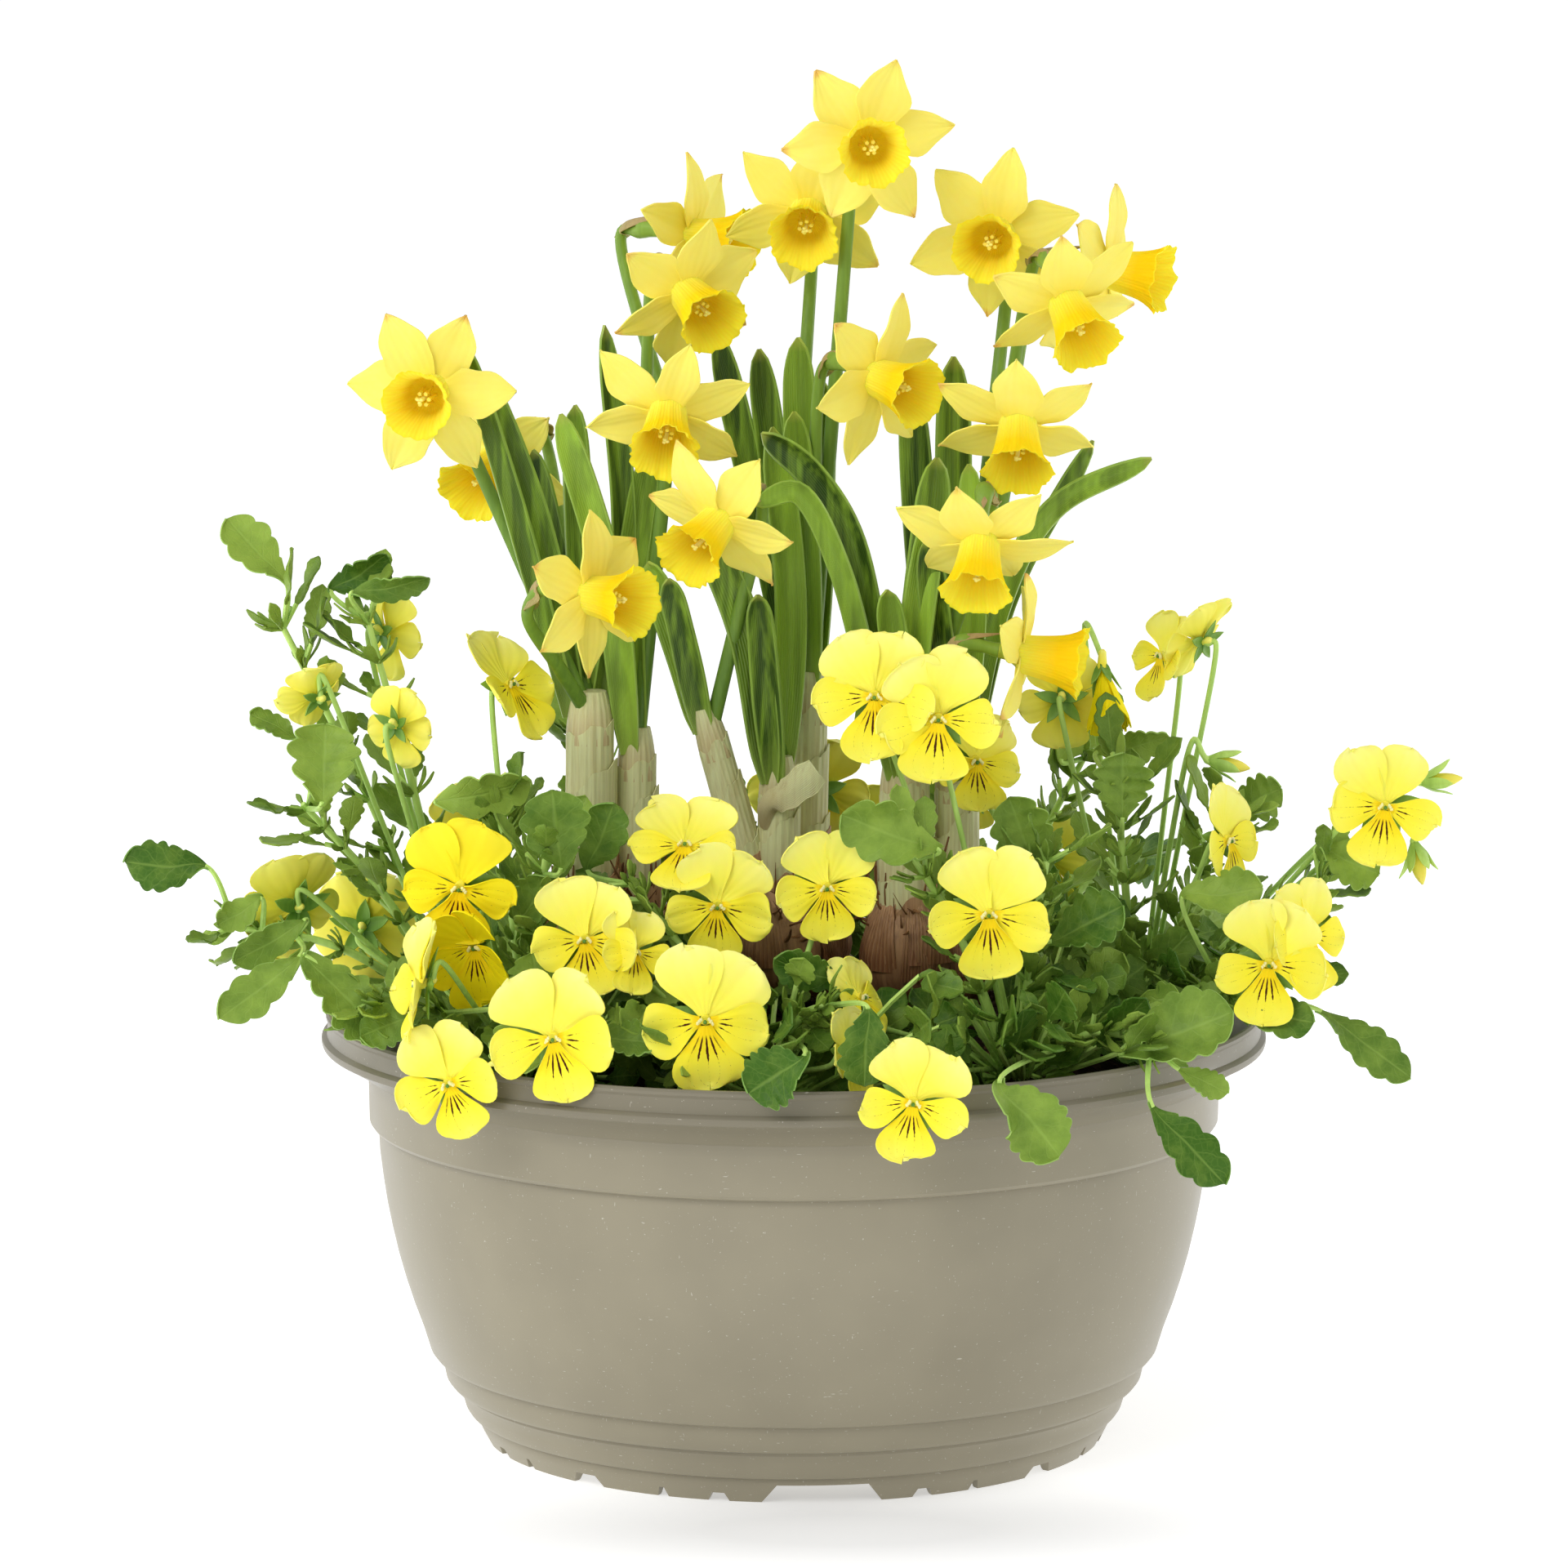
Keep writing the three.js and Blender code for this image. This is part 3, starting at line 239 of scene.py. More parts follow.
# Leaves: plant, centre, length, width, spin in the front view, lean to the front, roll
LEAVES = (
    ("left", (-152, -5, 255), 26, 13, 131, 0, 15),
    ("left", (-122.5, -6, 248), 20, 11, 30, 10, 50),
    ("left", (-113, -22, 246), 24, 9, 8, 15, 60),
    ("left", (-178, -15, 166), 25, 14, 178, 0, -25),
    ("left", (-156, -24, 155), 15, 9, 212, 10, -20),
    ("left", (-146, -50, 150), 24, 10, 212, 15, -35),
    ("left", (-148, -60, 139), 30, 12, 219, 15, -20),
    ("left", (-131, -44, 200), 24, 19, 88, -20, 5),
    ("left", (-147, -10, 206), 16, 8, 152, 0, 40),
    ("left_front", (-123, -74, 140), 34, 17, 318, 20, -25),
    ("left_front", (-86, -42, 189), 28, 14, 10, 10, 50),
    ("left_front", (-65, -80, 187), 24, 18, 95, 15, 0),
    ("left_front", (-72, -78, 166), 18, 12, 60, 20, 0),
    ("left_front", (-84, -110, 129), 18, 15, 285, 25, 0),
    ("left_front", (-110, -86, 134), 20, 12, 200, 20, 10),
    ("front", (-48, -72, 181), 22, 13, 70, 15, 0),
    ("front", (-46, -125, 132), 20, 10, 0, 20, -30),
    ("front", (-13.8, -138.5, 125.6), 19, 16, 215, 8, 0),
    ("front", (-77, -99, 146), 18, 15, 100, 10, 0),
    ("front", (4, -104, 150), 22, 11, 160, 20, -30),
    ("front", (14, -128, 133), 22, 14, 268, 15, 0),
    ("right_front", (26, -80, 186), 30, 17, 160, 15, -20),
    ("right_front", (64, -60, 180), 28, 16, 110, 10, 0),
    ("right_front", (80, -76, 160), 24, 16, 30, 15, -20),
    ("right_front", (104, -94, 134), 34, 20, 25, 15, -25),
    ("right_front", (111, -102, 121), 16, 8, 335, 10, -20),
    ("right_front", (107, -106, 104), 31, 13, 312, 8, 0),
    ("right_front", (63, -136, 117), 27, 17, 307, 8, 0),
    ("right", (92, -36, 192), 20, 16, 90, 10, 0),
    ("right", (96, -14, 200), 22, 10, 10, 5, 40),
    ("right", (131, -8, 184), 17, 13, 22, 0, 10),
    ("right", (157, -18, 168), 20, 13, 335, 0, 0),
    ("right", (126, -44, 164), 24, 13, 15, 20, -20),
    ("right", (134, -54, 131), 22, 12, 355, 20, -20),
    ("right", (159.5, -50, 121.5), 34, 12, 325, 5, -15),
    ("back_right", (84, 66, 196), 26, 16, 60, -30, 20),
    ("back_right", (104, 100, 150), 28, 16, 350, -40, 20),
    ("back_right", (44, 128, 138), 26, 16, 300, -50, 0),
    ("back_left", (-66, 90, 196), 26, 16, 120, -30, 20),
    ("back_left", (-108, 92, 146), 28, 16, 190, -40, 20),
    ("back_left", (-12, 130, 136), 26, 16, 260, -50, 0),
)

# Sideways moves that a stem, a stalk or a leaf may have made to pass its neighbours
MOVES = (
    (0, 0, 0), (0, -5, 0), (0, 5, 0), (-5, 0, 2), (5, 0, 2), (0, 0, 6), (0, 0, -5), (0, -10, 3), (0, 10, 3),
    (-9, 0, 4), (9, 0, 4), (-7, -7, 0), (7, -7, 0), (-7, 7, 0), (7, 7, 0),
)


# ---------------------------------------------------------------------------- shapes

def radians_of(*degrees):
    return [math.radians(d) for d in degrees]


def smooth(table, x):
    """The value at x of a smooth curve through the table's (x, value) rows"""
    last = len(table) - 1
    k = next((i for i in range(1, last) if x < table[i][0]), last)

    def slope(i):
        (xa, ya), (xb, yb) = table[max(i - 1, 0)], table[min(i + 1, last)]
        return (yb - ya) / (xb - xa)

    (x0, y0), (x1, y1) = table[k - 1], table[k]
    span = x1 - x0
    t = min(max((x - x0) / span, 0), 1)
    a, b = slope(k - 1) * span, slope(k) * span
    return y0 + t * (a + t * (3 * (y1 - y0) - 2 * a - b + t * (2 * (y0 - y1) + a + b)))


def polar(turn, radius, height=0):
    return Vector((radius * math.cos(turn), radius * math.sin(turn), height))


class Route:
    """A smooth open curve through points, from 0 at the first to 1 at the last"""

    def __init__(self, points):
        p = [Vector(q) for q in points]
        self.points = [2 * p[0] - p[1], *p, 2 * p[-1] - p[-2]]

    def at(self, s):
        spans = len(self.points) - 3
        k = min(max(int(s * spans), 0), spans - 1)
        t = s * spans - k
        p0, p1, p2, p3 = self.points[k:k + 4]
        a, b = 0.5 * (p2 - p0), 0.5 * (p3 - p1)
        return p1 + t * (a + t * (3 * (p2 - p1) - 2 * a - b + t * (2 * (p1 - p2) + a + b)))

    def along(self, s):
        return (self.at(s + 0.001) - self.at(s - 0.001)).normalized()

    def frames(self, shares, faces):
        """Place, side, face and direction at each share, with the face turning from the first to the last"""
        found = []
        for s in shares:
            along = self.along(s)
            hint = faces[0].lerp(faces[-1], s)
            face = (hint - hint.dot(along) * along).normalized()
            found.append((self.at(s), along.cross(face), face, along))
        return found


class Piece:
    """Gathers the shapes of one object, in millimetres, until it is finished"""

    def __init__(self):
        self.whole = bmesh.new()
        self.scrap = bpy.data.meshes.new("scrap")

    def take(self, shape, finish=0, tone=0.5):
        """Adds a shape, which is used up"""
        layer = shape.verts.layers.float.get("tone") or shape.verts.layers.float.new("tone")
        for vert in shape.verts:
            vert[layer] = tone
        for face in shape.faces:
            face.smooth = True
            if finish is not None:
                face.material_index = finish
        shape.to_mesh(self.scrap)
        self.whole.from_mesh(self.scrap)
        shape.free()

    def sheet(self, across, along, place, thickness=0, closed=False, finish=0, under=None, tone=0.5):
        """A grid that place(u, v, row) bends, with u from -1 to 1 across it and v from 0 to 1 along it"""
        shape = bmesh.new()
        uv = shape.loops.layers.uv.new("UVMap")
        verts = bmesh.ops.create_grid(shape, x_segments=across, y_segments=along, size=1)["verts"]
        for face in shape.faces:
            for loop in face.loops:
                loop[uv].uv = (loop.vert.co.x / 2 + 0.5, loop.vert.co.y / 2 + 0.5)
        for i, vert in enumerate(verts):
            vert.co = place(vert.co.x, vert.co.y / 2 + 0.5, i // (across + 1))
        bmesh.ops.remove_doubles(shape, verts=shape.verts[:], dist=0.002)
        bmesh.ops.dissolve_degenerate(shape, edges=shape.edges[:], dist=0.001)
        if closed:
            bmesh.ops.holes_fill(shape, edges=shape.edges[:], sides=0)
        if thickness:
            front = shape.faces[:]
            shape.normal_update()
            made = bmesh.ops.extrude_face_region(shape, geom=front, use_keep_orig=True)["geom"]
            for vert in made:
                if isinstance(vert, bmesh.types.BMVert):
                    vert.co -= thickness * vert.normal
            for face in shape.faces:
                face.material_index = finish if under is None else under
            for face in front:
                face.material_index = finish
            finish = None
        bmesh.ops.recalc_face_normals(shape, faces=shape.faces[:])
        self.take(shape, finish, tone)

    def blade(self, route, width, faces, across=6, along=24, start=0, stop=1, dish=0, wave=0, phase=0,
              thickness=0.5, **finish):
        """A leaf along a route: width(v) is half its width, dish hollows it and wave ruffles its edges"""
        places = route.frames([start + (stop - start) * k / along for k in range(along + 1)], faces)

        def place(u, v, row):
            at, side, face, _ = places[row]
            half = width(v)
            lift = dish * half * (abs(u) ** 1.5 - 0.4) + wave * abs(u) ** 2 * math.sin(9 * v + phase + 1.5 * u)
            return at + u * half * side + lift * face

        self.sheet(across, along, place, thickness, **finish)

    def tube(self, route, radius, sides=8, rows=12, start=0, stop=1, flat=1, closed=True, **finish):
        """A round stem along a route: radius(v) at each share v of its length"""
        places = route.frames([start + (stop - start) * k / rows for k in range(rows + 1)], [Vector((0, -1, 0.2))])

        def place(u, v, row):
            at, side, face, _ = places[row]
            turn = math.pi * u
            return at + radius(v) * (flat * math.cos(turn) * face + math.sin(turn) * side)

        self.sheet(sides, rows, place, closed=closed, **finish)

    def pebble(self, at, size, turn=0.0, rough=0.25, pick=random, **finish):
        """A small lump with few faces"""
        shape = bmesh.new()
        verts = bmesh.ops.create_icosphere(shape, subdivisions=1, radius=1)["verts"]
        for vert in verts:
            vert.co *= 1 + rough * (pick.random() - 0.5)
        placing = Matrix.LocRotScale(Vector(at), Matrix.Rotation(turn, 3, Vector((0.4, 0.3, 1))), Vector(size))
        bmesh.ops.transform(shape, matrix=placing, verts=verts)
        self.take(shape, **finish)

    def finish(self, name, slot, materials, nodes=(), sharp=55):
        """Makes the object, in metres, and ties it to the frame"""
        bmesh.ops.scale(self.whole, vec=(MM, MM, MM), verts=self.whole.verts[:])
        mesh = mesh_from(self.whole, name)
        bpy.data.meshes.remove(self.scrap)
        for material in materials:
            mesh.materials.append(material)
        if sharp:
            mesh.set_sharp_from_angle(angle=math.radians(sharp))
        made = add_object(name, mesh)
        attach(made, "root")
        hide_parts(*nodes)
        return made


def mesh_from(shape, name):
    """A mesh made of a shape, which is used up"""
    mesh = bpy.data.meshes.new(name)
    shape.to_mesh(mesh)
    shape.free()
    return mesh


def add_object(name, data):
    made = bpy.data.objects.new(name, data)
    bpy.context.scene.collection.objects.link(made)
    return made


def turned(profile, steps):
    """What a profile of (radius, height) rows makes when it is turned round the upright axis"""
    shape = bmesh.new()
    verts = [shape.verts.new((r, 0, z)) for r, z in profile]
    edges = [shape.edges.new(pair) for pair in zip(verts, verts[1:])]
    bmesh.ops.spin(shape, geom=verts + edges, cent=(0, 0, 0), axis=UP, angle=math.tau, steps=steps, use_merge=True)
    bmesh.ops.remove_doubles(shape, verts=shape.verts[:], dist=0.01)
    bmesh.ops.recalc_face_normals(shape, faces=shape.faces[:])
    return shape


def facing(aim, centre):
    """A bloom's frame: yaw 0 faces the front, pitch tips it up, and roll turns it as seen from before it"""
    yaw, pitch, roll = radians_of(*aim)
    out = Vector((math.sin(yaw) * math.cos(pitch), -math.cos(yaw) * math.cos(pitch), math.sin(pitch)))
    side = UP.cross(out).normalized()
    basis = Matrix((side, out.cross(side), out)).transposed().to_4x4()
    return Matrix.Translation(centre) @ basis @ Matrix.Rotation(roll, 4, "Z")


def out_of(frame_matrix):
    return frame_matrix.col[2].to_3d()


def level(vector):
    return Vector((vector.x, vector.y, 0))


# ---------------------------------------------------------------------------- where the stems go

# Found when first asked for, and kept
NODE_POINTS = {}


def node_points(name):
    """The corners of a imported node, for telling which way round its stems go"""
    if name not in NODE_POINTS:
        corners = {tuple(round(c / MM, 3) for c in v.co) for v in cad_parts[name].data.vertices}
        tree = kdtree.KDTree(len(corners))
        for i, corner in enumerate(sorted(corners)):
            tree.insert(corner, i)
        tree.balance()
        NODE_POINTS[name] = tree
    return NODE_POINTS[name]


def as_packed(node, ways, marks, width=0, face=UP):
    """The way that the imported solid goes: marks are shares of the route, how far to each side of it the solid
    reaches, as a share of its half width, and how far its nearest corner stands off there"""
    tree = node_points(node)

    def miss(way):
        route = Route(way)
        spots = route.frames([s for s, _, _ in marks], [STALK_FACE, face])
        return sum(min(3, abs(tree.find(at + k * reach * width / 2 * side)[2] - off))
                   for (at, side, _, _), (_, reach, off) in zip(spots, marks) for k in (-1, 1))

    return min(ways, key=miss)


def neck_end(name):
    top = Vector(NECKS[name]["top"])
    return top, (top - Vector(NECKS[name]["foot"])).normalized()


def strap_points(neck, points):
    """A strap leaf's route: out of its neck, on the side that it leans to"""
    top, rise = neck_end(neck)
    outward = level(Vector(points[0])) - level(top)
    half = 0.36 * NECKS[neck]["width"]
    spread = Vector([min(max(k * c, -half), half) for k, c in ((0.25, outward.x), (0.6, outward.y))] + [0])
    return [top + OUT_OF_NECK * rise + spread, *points], outward.normalized()


def scape_points(neck, centre, aim, sway=(0, 0, 0)):
    """A flower stem's route: up from its neck, over a crook and into the back of the bloom"""
    out = out_of(facing(aim, centre))
    end = Vector(centre) - 6.3 * out
    ovary = end - 11 * out
    crook = ovary - (6 + 30 * max(0, -out.z - 0.5)) * level(out).normalized() - 9 * UP
    top, rise = neck_end(neck)
    foot = top + OUT_OF_NECK * rise
    return [foot, foot.lerp(crook, 0.5) + Vector(sway), crook, ovary, end]


def mix_height(radius):
    k = next((i for i, (r, _) in enumerate(MIX_TOP) if r <= radius), 0)
    if k == 0:
        return MIX_TOP[0][1]
    (r1, z1), (r0, z0) = MIX_TOP[k - 1:k + 1]
    return z0 + (z1 - z0) * (radius - r0) / (r1 - r0)


def crown_base(plant):
    x, y = PLANTS[plant]["crown"]
    return Vector((x, y, mix_height(math.hypot(x, y))))


def crown_root(plant, goal):
    """Where a stem or a petiole leaves the crown: on the side that faces where it goes"""
    base = crown_base(plant)
    away = level(Vector(goal) - base)
    share = min(1, away.length / 40)
    return base + 3.5 * share * away.normalized() + (0.35 + 0.5 * (1 - share)) * CROWN_HEIGHT * UP


def ways_round(points, index):
    """The route with its point at index moved aside in each way"""
    return [[p + Vector(move) if i == index else p for i, p in enumerate(points)] for move in MOVES]


def stem_points(plant, tip):
    end = Vector(tip)
    foot = crown_root(plant, end)
    ways = ways_round([foot, foot.lerp(end, 0.5) + 6 * UP, end], 1)
    return as_packed("plant_" + plant, ways, ((0.35, 0, 1.3), (0.7, 0, 1.17), (1, 0, 0.78)))


def pedicel_points(plant, centre, aim):
    out = out_of(facing(aim, centre))
    end = Vector(centre) - 1.4 * out
    back = end - 3 * out
    nod = max(0, -out.z - 0.5)
    over_rim = math.hypot(centre[0], centre[1]) > 135
    crook = back - (3 + 20 * nod) * level(out).normalized() + (6 if over_rim or nod else -4) * UP
    foot = crown_root(plant, crook)
    ways = ways_round([foot, foot.lerp(crook, 0.55), crook, back, end], 1)
    return as_packed("plant_" + plant, ways, ((0.32, 0, 0.85), (0.66, 0, 0.85)))


def bud_points(plant, centre, aim):
    out = Vector(aim).normalized()
    back, tip = Vector(centre) - 6 * out, Vector(centre) + 6 * out
    crook = back - 5 * out + Vector((0, 0, 3 - 4 * out.z))
    foot = crown_root(plant, crook)
    ways = ways_round([foot, foot.lerp(crook, 0.55) + 5 * UP, crook, back, tip], 1)
    return as_packed("plant_" + plant, ways, ((0.38, 0, 0.85), (0.74, 0, 0.85)))


def leaf_axes(spin, lean, roll):
    """Along the blade, and out of its face"""
    a, b, c = radians_of(spin, lean, roll)
    along = Vector((math.cos(a) * math.cos(b), -math.sin(b), math.sin(a) * math.cos(b)))
    face = (FRONT - FRONT.dot(along) * along).normalized()
    return along, Matrix.Rotation(c, 3, along) @ face


def root_of(plant, stems, at):
    """The nearest point of a stem or of the crown that lies below a leaf"""
    spots = [crown_root(plant, at)]
    for route in stems:
        spots += [route.at(s) for s in (0.3, 0.5, 0.7, 0.85, 0.97)]
    return min(spots, key=lambda spot: (spot - at).length + 2 * max(0, spot.z - at.z))


def leaf_points(plant, stems, centre, length, turns, move=(0, 0, 0)):
    along, face = leaf_axes(*turns)
    middle = Vector(centre) + Vector(move)
    base = middle - length / 2 * along
    tip = middle + length / 2 * along - 0.08 * length * face
    return [root_of(plant, stems, base), base, middle, tip]


# ---------------------------------------------------------------------------- materials

def paint(code):
    """A colour that is written as sRGB hex, in the linear values that the shaders take"""
    parts = [int(code[i:i + 2], 16) / 255 for i in (0, 2, 4)]
    return [c / 12.92 if c <= 0.04045 else ((c + 0.055) / 1.055) ** 2.4 for c in parts] + [1.0]


def shade(colour, share):
    """A colour made darker or lighter"""
    return [min(c * share, 1) for c in colour[:3]] + [1.0]


# What each kind of shader node takes in order, the output that is used, and its settings
NODE_KINDS = {
    "PLACE": ("TexCoord", (), 3, {}),
    "SCALED": ("Mapping", ("Vector", "Scale", "Location"), 0, {}),
    "UV": ("TexCoord", (), 2, {}),
    "AXES": ("SeparateXYZ", (0,), 0, {}),
    "ON_X": ("CombineXYZ", (0,), 0, {}),
    "TONE": ("Attribute", (), 2, {"attribute_name": "tone"}),
    "NOISE": ("TexNoise", ("Vector", "Scale", "Detail", "Roughness"), 0, {}),
    "WAVE": ("TexWave", ("Vector", "Scale", "Distortion", "Detail"), 1, {}),
    "CELLS": ("TexVoronoi", ("Vector", "Scale"), 1, {}),
    "NET": ("TexVoronoi", ("Vector", "Scale"), 0, {"feature": "DISTANCE_TO_EDGE"}),
    "RED": ("SeparateColor", (0,), 0, {}),
    "LENGTH": ("VectorMath", (0,), 1, {"operation": "LENGTH"}),
    "RANGE": ("MapRange", (0, 1, 2, 3, 4), 0, {}),
    "MIX": ("Mix", (0, 6, 7), 2, {"data_type": "RGBA"}),
    "BUMP": ("Bump", ("Height", "Strength", "Distance"), 0, {}),
}


# How far light goes through green tissue, for red, green and blue
GREEN_TISSUE = (MM, 2 * MM, MM / 2)


class Finish:
    """A material that is being made, and the nodes that feed its shader"""

    def __init__(self, name, **sockets):
        self.made = bpy.data.materials.new(name)
        self.made.use_nodes = True
        self.tree = self.made.node_tree
        self.shader = self.tree.nodes["Principled BSDF"]
        for socket, value in sockets.items():
            self.feed(self.shader, socket.replace("_", " "), value)
        # Object coordinates in millimetres
        self.place = self.add("SCALED", self.add("PLACE"), [1 / MM] * 3)

    def feed(self, node, socket, value):
        if isinstance(value, bpy.types.NodeSocket):
            self.tree.links.new(value, node.inputs[socket])
        else:
            node.inputs[socket].default_value = value

    def add(self, kind, *values, **settings):
        """Adds one node, of a kind in the table or else a step of arithmetic, and returns its output"""
        called, inputs, output, fixed = NODE_KINDS.get(kind, ("Math", (0, 1, 2), 0, {"operation": kind}))
        made = self.tree.nodes.new("ShaderNode" + called)
        for setting, value in {**fixed, **settings}.items():
            setattr(made, setting, value)
        for socket, value in zip(inputs, values):
            self.feed(made, socket, value)
        return made.outputs[output]

    def across_and_along(self):
        """The piece's own coordinates: -1 to 1 across it, and 0 to 1 along it"""
        axes = self.add("AXES", self.add("UV")).node.outputs
        return self.add("MULTIPLY_ADD", axes[0], 2.0, -1.0), axes[1]

    def over(self, base, colour, share, *limits):
        """The base with a colour over it, by a share or, with limits, as the share runs between two of them"""
        return self.add("MIX", self.add("RANGE", share, *limits) if limits else share, base, colour)

    def grain(self, size, detail=3.0, rough=0.55, stretch=1.0):
        """Noise whose grains are so many millimetres across, and stretched upwards"""
        place = self.add("SCALED", self.place, [1 / size, 1 / size, 1 / (size * stretch)])
        return self.add("NOISE", place, 1.0, detail, rough)

    def done(self, colour, height, strength, depth):
        """Gives the material its colour and its relief, in millimetres"""
        self.feed(self.shader, "Base Color", colour)
        self.feed(self.shader, "Normal", self.add("BUMP", height, strength, depth * MM))
        return self.made


def plastic_finish(colour, roughness):
    """Injection-moulded polypropylene: an even satin, faintly clouded, with small pale scuffs"""
    f = Finish("moulded_polypropylene", IOR=1.49, Specular_IOR_Level=0.42)
    cloud = f.grain(38)
    base = f.add("MIX", f.add("RANGE", cloud, 0.35, 0.65), shade(colour, 0.95), shade(colour, 1.05))
    # painted shade: the plastic darkens from 103 mm up to the rim, standing in for the shade round the lip
    height = f.add("AXES", f.place).node.outputs[2]
    base = f.over(base, shade(colour, 0.6), height, 103, 112, 0, 0.75)
    for size, stretch, low in ((0.7, 1.0, 0.735), (0.5, 6.0, 0.75), (2.2, 0.2, 0.745)):
        scuff = f.add("RANGE", f.grain(size, 1.5, 0.5, stretch), low, low + 0.03, 0, 0.45)
        base = f.over(base, paint("dcd8cc"), scuff)
    f.feed(f.shader, "Roughness", f.add("RANGE", cloud, 0.3, 0.7, roughness - 0.05, roughness + 0.06))
    # the mould's grain is finer than this, and is drawn as coarse as it needs to show
    return f.done(base, f.grain(0.9, 2), 0.08, 0.12)


def mix_finish(colour):
    """Damp peat and composted bark: matt, with painted shade that darkens it nearly to black in the pits of its
    relief, brown fibres and paler bits
    """
    f = Finish("peat_and_bark", Roughness=0.92, Specular_IOR_Level=0.2)
    clods = f.grain(7, 6, 0.7)
    # painted shade: darkest where the clods' relief is lowest
    base = f.add("MIX", f.add("RANGE", clods, 0.35, 0.7), shade(colour, 0.3), shade(colour, 1))
    bits = f.add("RANGE", f.add("RED", f.add("CELLS", f.place, 0.42)), 0.85, 0.97, 0, 0.5)
    return f.done(f.over(base, paint("80603f"), bits), clods, 0.8, 1.5)


def papery_finish(name, low, high, streak, per_mm, roughness=0.6):
    """Dry papery skin of a bulb or a sheath: satin, with fine veins running up it"""
    f = Finish(name, Roughness=roughness, Subsurface_Weight=0.15, Subsurface_Radius=(2 * MM, 2 * MM, MM),
               Specular_IOR_Level=0.3)
    u, v = f.across_and_along()
    fibres = f.grain(1.3, 5, 0.65, 22)
    blotch = f.grain(6, 4, 0.6, 2.5)
    lines = f.add("WAVE", f.add("ON_X", u), per_mm, 1.2, 2.0)
    base = f.add("MIX", f.add("RANGE", v, 0.1, 0.9), paint(low), paint(high))
    base = f.over(base, paint(streak), fibres, 0.45, 0.72, 0, 0.55)
    base = f.over(base, paint(streak), blotch, 0.58, 0.75, 0, 0.5)
    base = f.over(base, shade(paint(high), 1.25), lines, 0.8, 1, 0, 0.25)
    return f.done(base, f.add("ADD", fibres, lines), 0.5, 0.3)


def strap_finish(low, high):
    """Daffodil leaf: waxy and deep green, with fine parallel ribs, paler edges and a dry tip"""
    f = Finish("waxy_strap_leaf", Roughness=0.3, Subsurface_Weight=0.1, Subsurface_Radius=GREEN_TISSUE,
               Specular_IOR_Level=0.26)
    u, v = f.across_and_along()
    ribs = f.add("WAVE", f.add("ON_X", u), 2.2, 0.6, 1.0)
    base = f.add("MIX", f.add("TONE"), low, high)
    # painted highlight: long pale streaks stand in for the gloss along the leaf
    base = f.over(base, shade(high, 1.2), f.grain(2.6, 2, 0.5, 30), 0.42, 0.66, 0, 0.5)
    # painted shade: long dark streaks darken the leaf where shade falls
    base = f.over(base, shade(low, 0.6), f.grain(4, 2, 0.45, 26), 0.46, 0.66, 0, 0.4)
    base = f.over(base, paint("8fae48"), f.add("MULTIPLY", ribs, 0.12))
    base = f.over(base, paint("a2c458"), f.add("ABSOLUTE", u), 0.84, 0.98, 0, 0.6)
    base = f.over(base, paint("a2ba58"), v, 0.0, 0.2, 0.5, 0)
    base = f.over(base, paint("b4bc54"), v, 0.96, 0.995, 0, 0.6)
    return f.done(base, ribs, 0.35, 0.25)


def stem_finish(name, low, high):
    """Smooth green stem: satin, paler and yellower where it is young"""
    f = Finish(name, Roughness=0.42, Subsurface_Weight=0.15, Subsurface_Radius=GREEN_TISSUE,
               Specular_IOR_Level=0.3)
    _, v = f.across_and_along()
    mottle = f.grain(1.5, 3, 0.55, 9)
    base = f.add("MIX", v, paint(low), paint(high))
    base = f.over(base, shade(paint(high), 1.3), mottle, 0.4, 0.7, 0, 0.3)
    return f.done(base, mottle, 0.2, 0.2)


def petal(name, roughness=0.6, shine=0.1, clear=0.4, reach=1.0):
    """Petal tissue: soft, and lets some light through"""
    return Finish(name, Roughness=roughness, Subsurface_Weight=clear, Specular_IOR_Level=shine,
                  Subsurface_Radius=(2.5 * reach * MM, 1.8 * reach * MM, 0.4 * reach * MM))


def tepal_finish(colour, deep):
    """Daffodil tepal: clear lemon, with faint ribs, deeper at its base and sometimes browned at its tip"""
    f = petal("lemon_tepal")
    u, v = f.across_and_along()
    ribs = f.add("WAVE", f.add("ON_X", u), 0.9, 2.5, 2.0)
    cloud = f.grain(9)
    base = f.add("MIX", f.add("RANGE", cloud, 0.3, 0.75, 0, 0.3), colour, deep)
    base = f.over(base, deep, v, 0.0, 0.4, 0.5, 0)
    base = f.over(base, deep, f.add("MULTIPLY", ribs, 0.05))
    tip = f.add("ADD", v, f.add("MULTIPLY_ADD", f.grain(1.6, 4), 0.08, -0.04))
    dried = f.add("MULTIPLY", f.add("RANGE", tip, 0.88, 0.97, 0, 0.7), f.add("RANGE", f.add("TONE"), 0.45, 0.85))
    base = f.over(base, paint("e6ae62"), dried)
    return f.done(base, f.add("MULTIPLY_ADD", cloud, 0.6, ribs), 0.2, 0.3)


def trumpet_finish(colour, inside):
    """Daffodil trumpet: bright gold outside and deeper within, with folds that run to its frilled mouth"""
    f = petal("golden_trumpet", 0.8, 0.02, 0.85, 3.0)
    u, v = f.across_and_along()
    folds = f.add("WAVE", f.add("ON_X", u), 7.0, 1.5, 2.0)
    base = f.add("MIX", f.add("RANGE", v, 0.05, 0.35), paint("fdf25c"), colour)
    # the inside is painted paler than it looks, as it renders deeper than its own colour
    base = f.over(base, inside, v, 0.5, 0.6)
    base = f.over(base, paint("ffda20"), v, 0.68, 0.9, 0, 0.7)
    base = f.over(base, paint("ffca0c"), f.add("MULTIPLY", folds, 0.15))
    return f.done(base, folds, 0.3, 0.3)


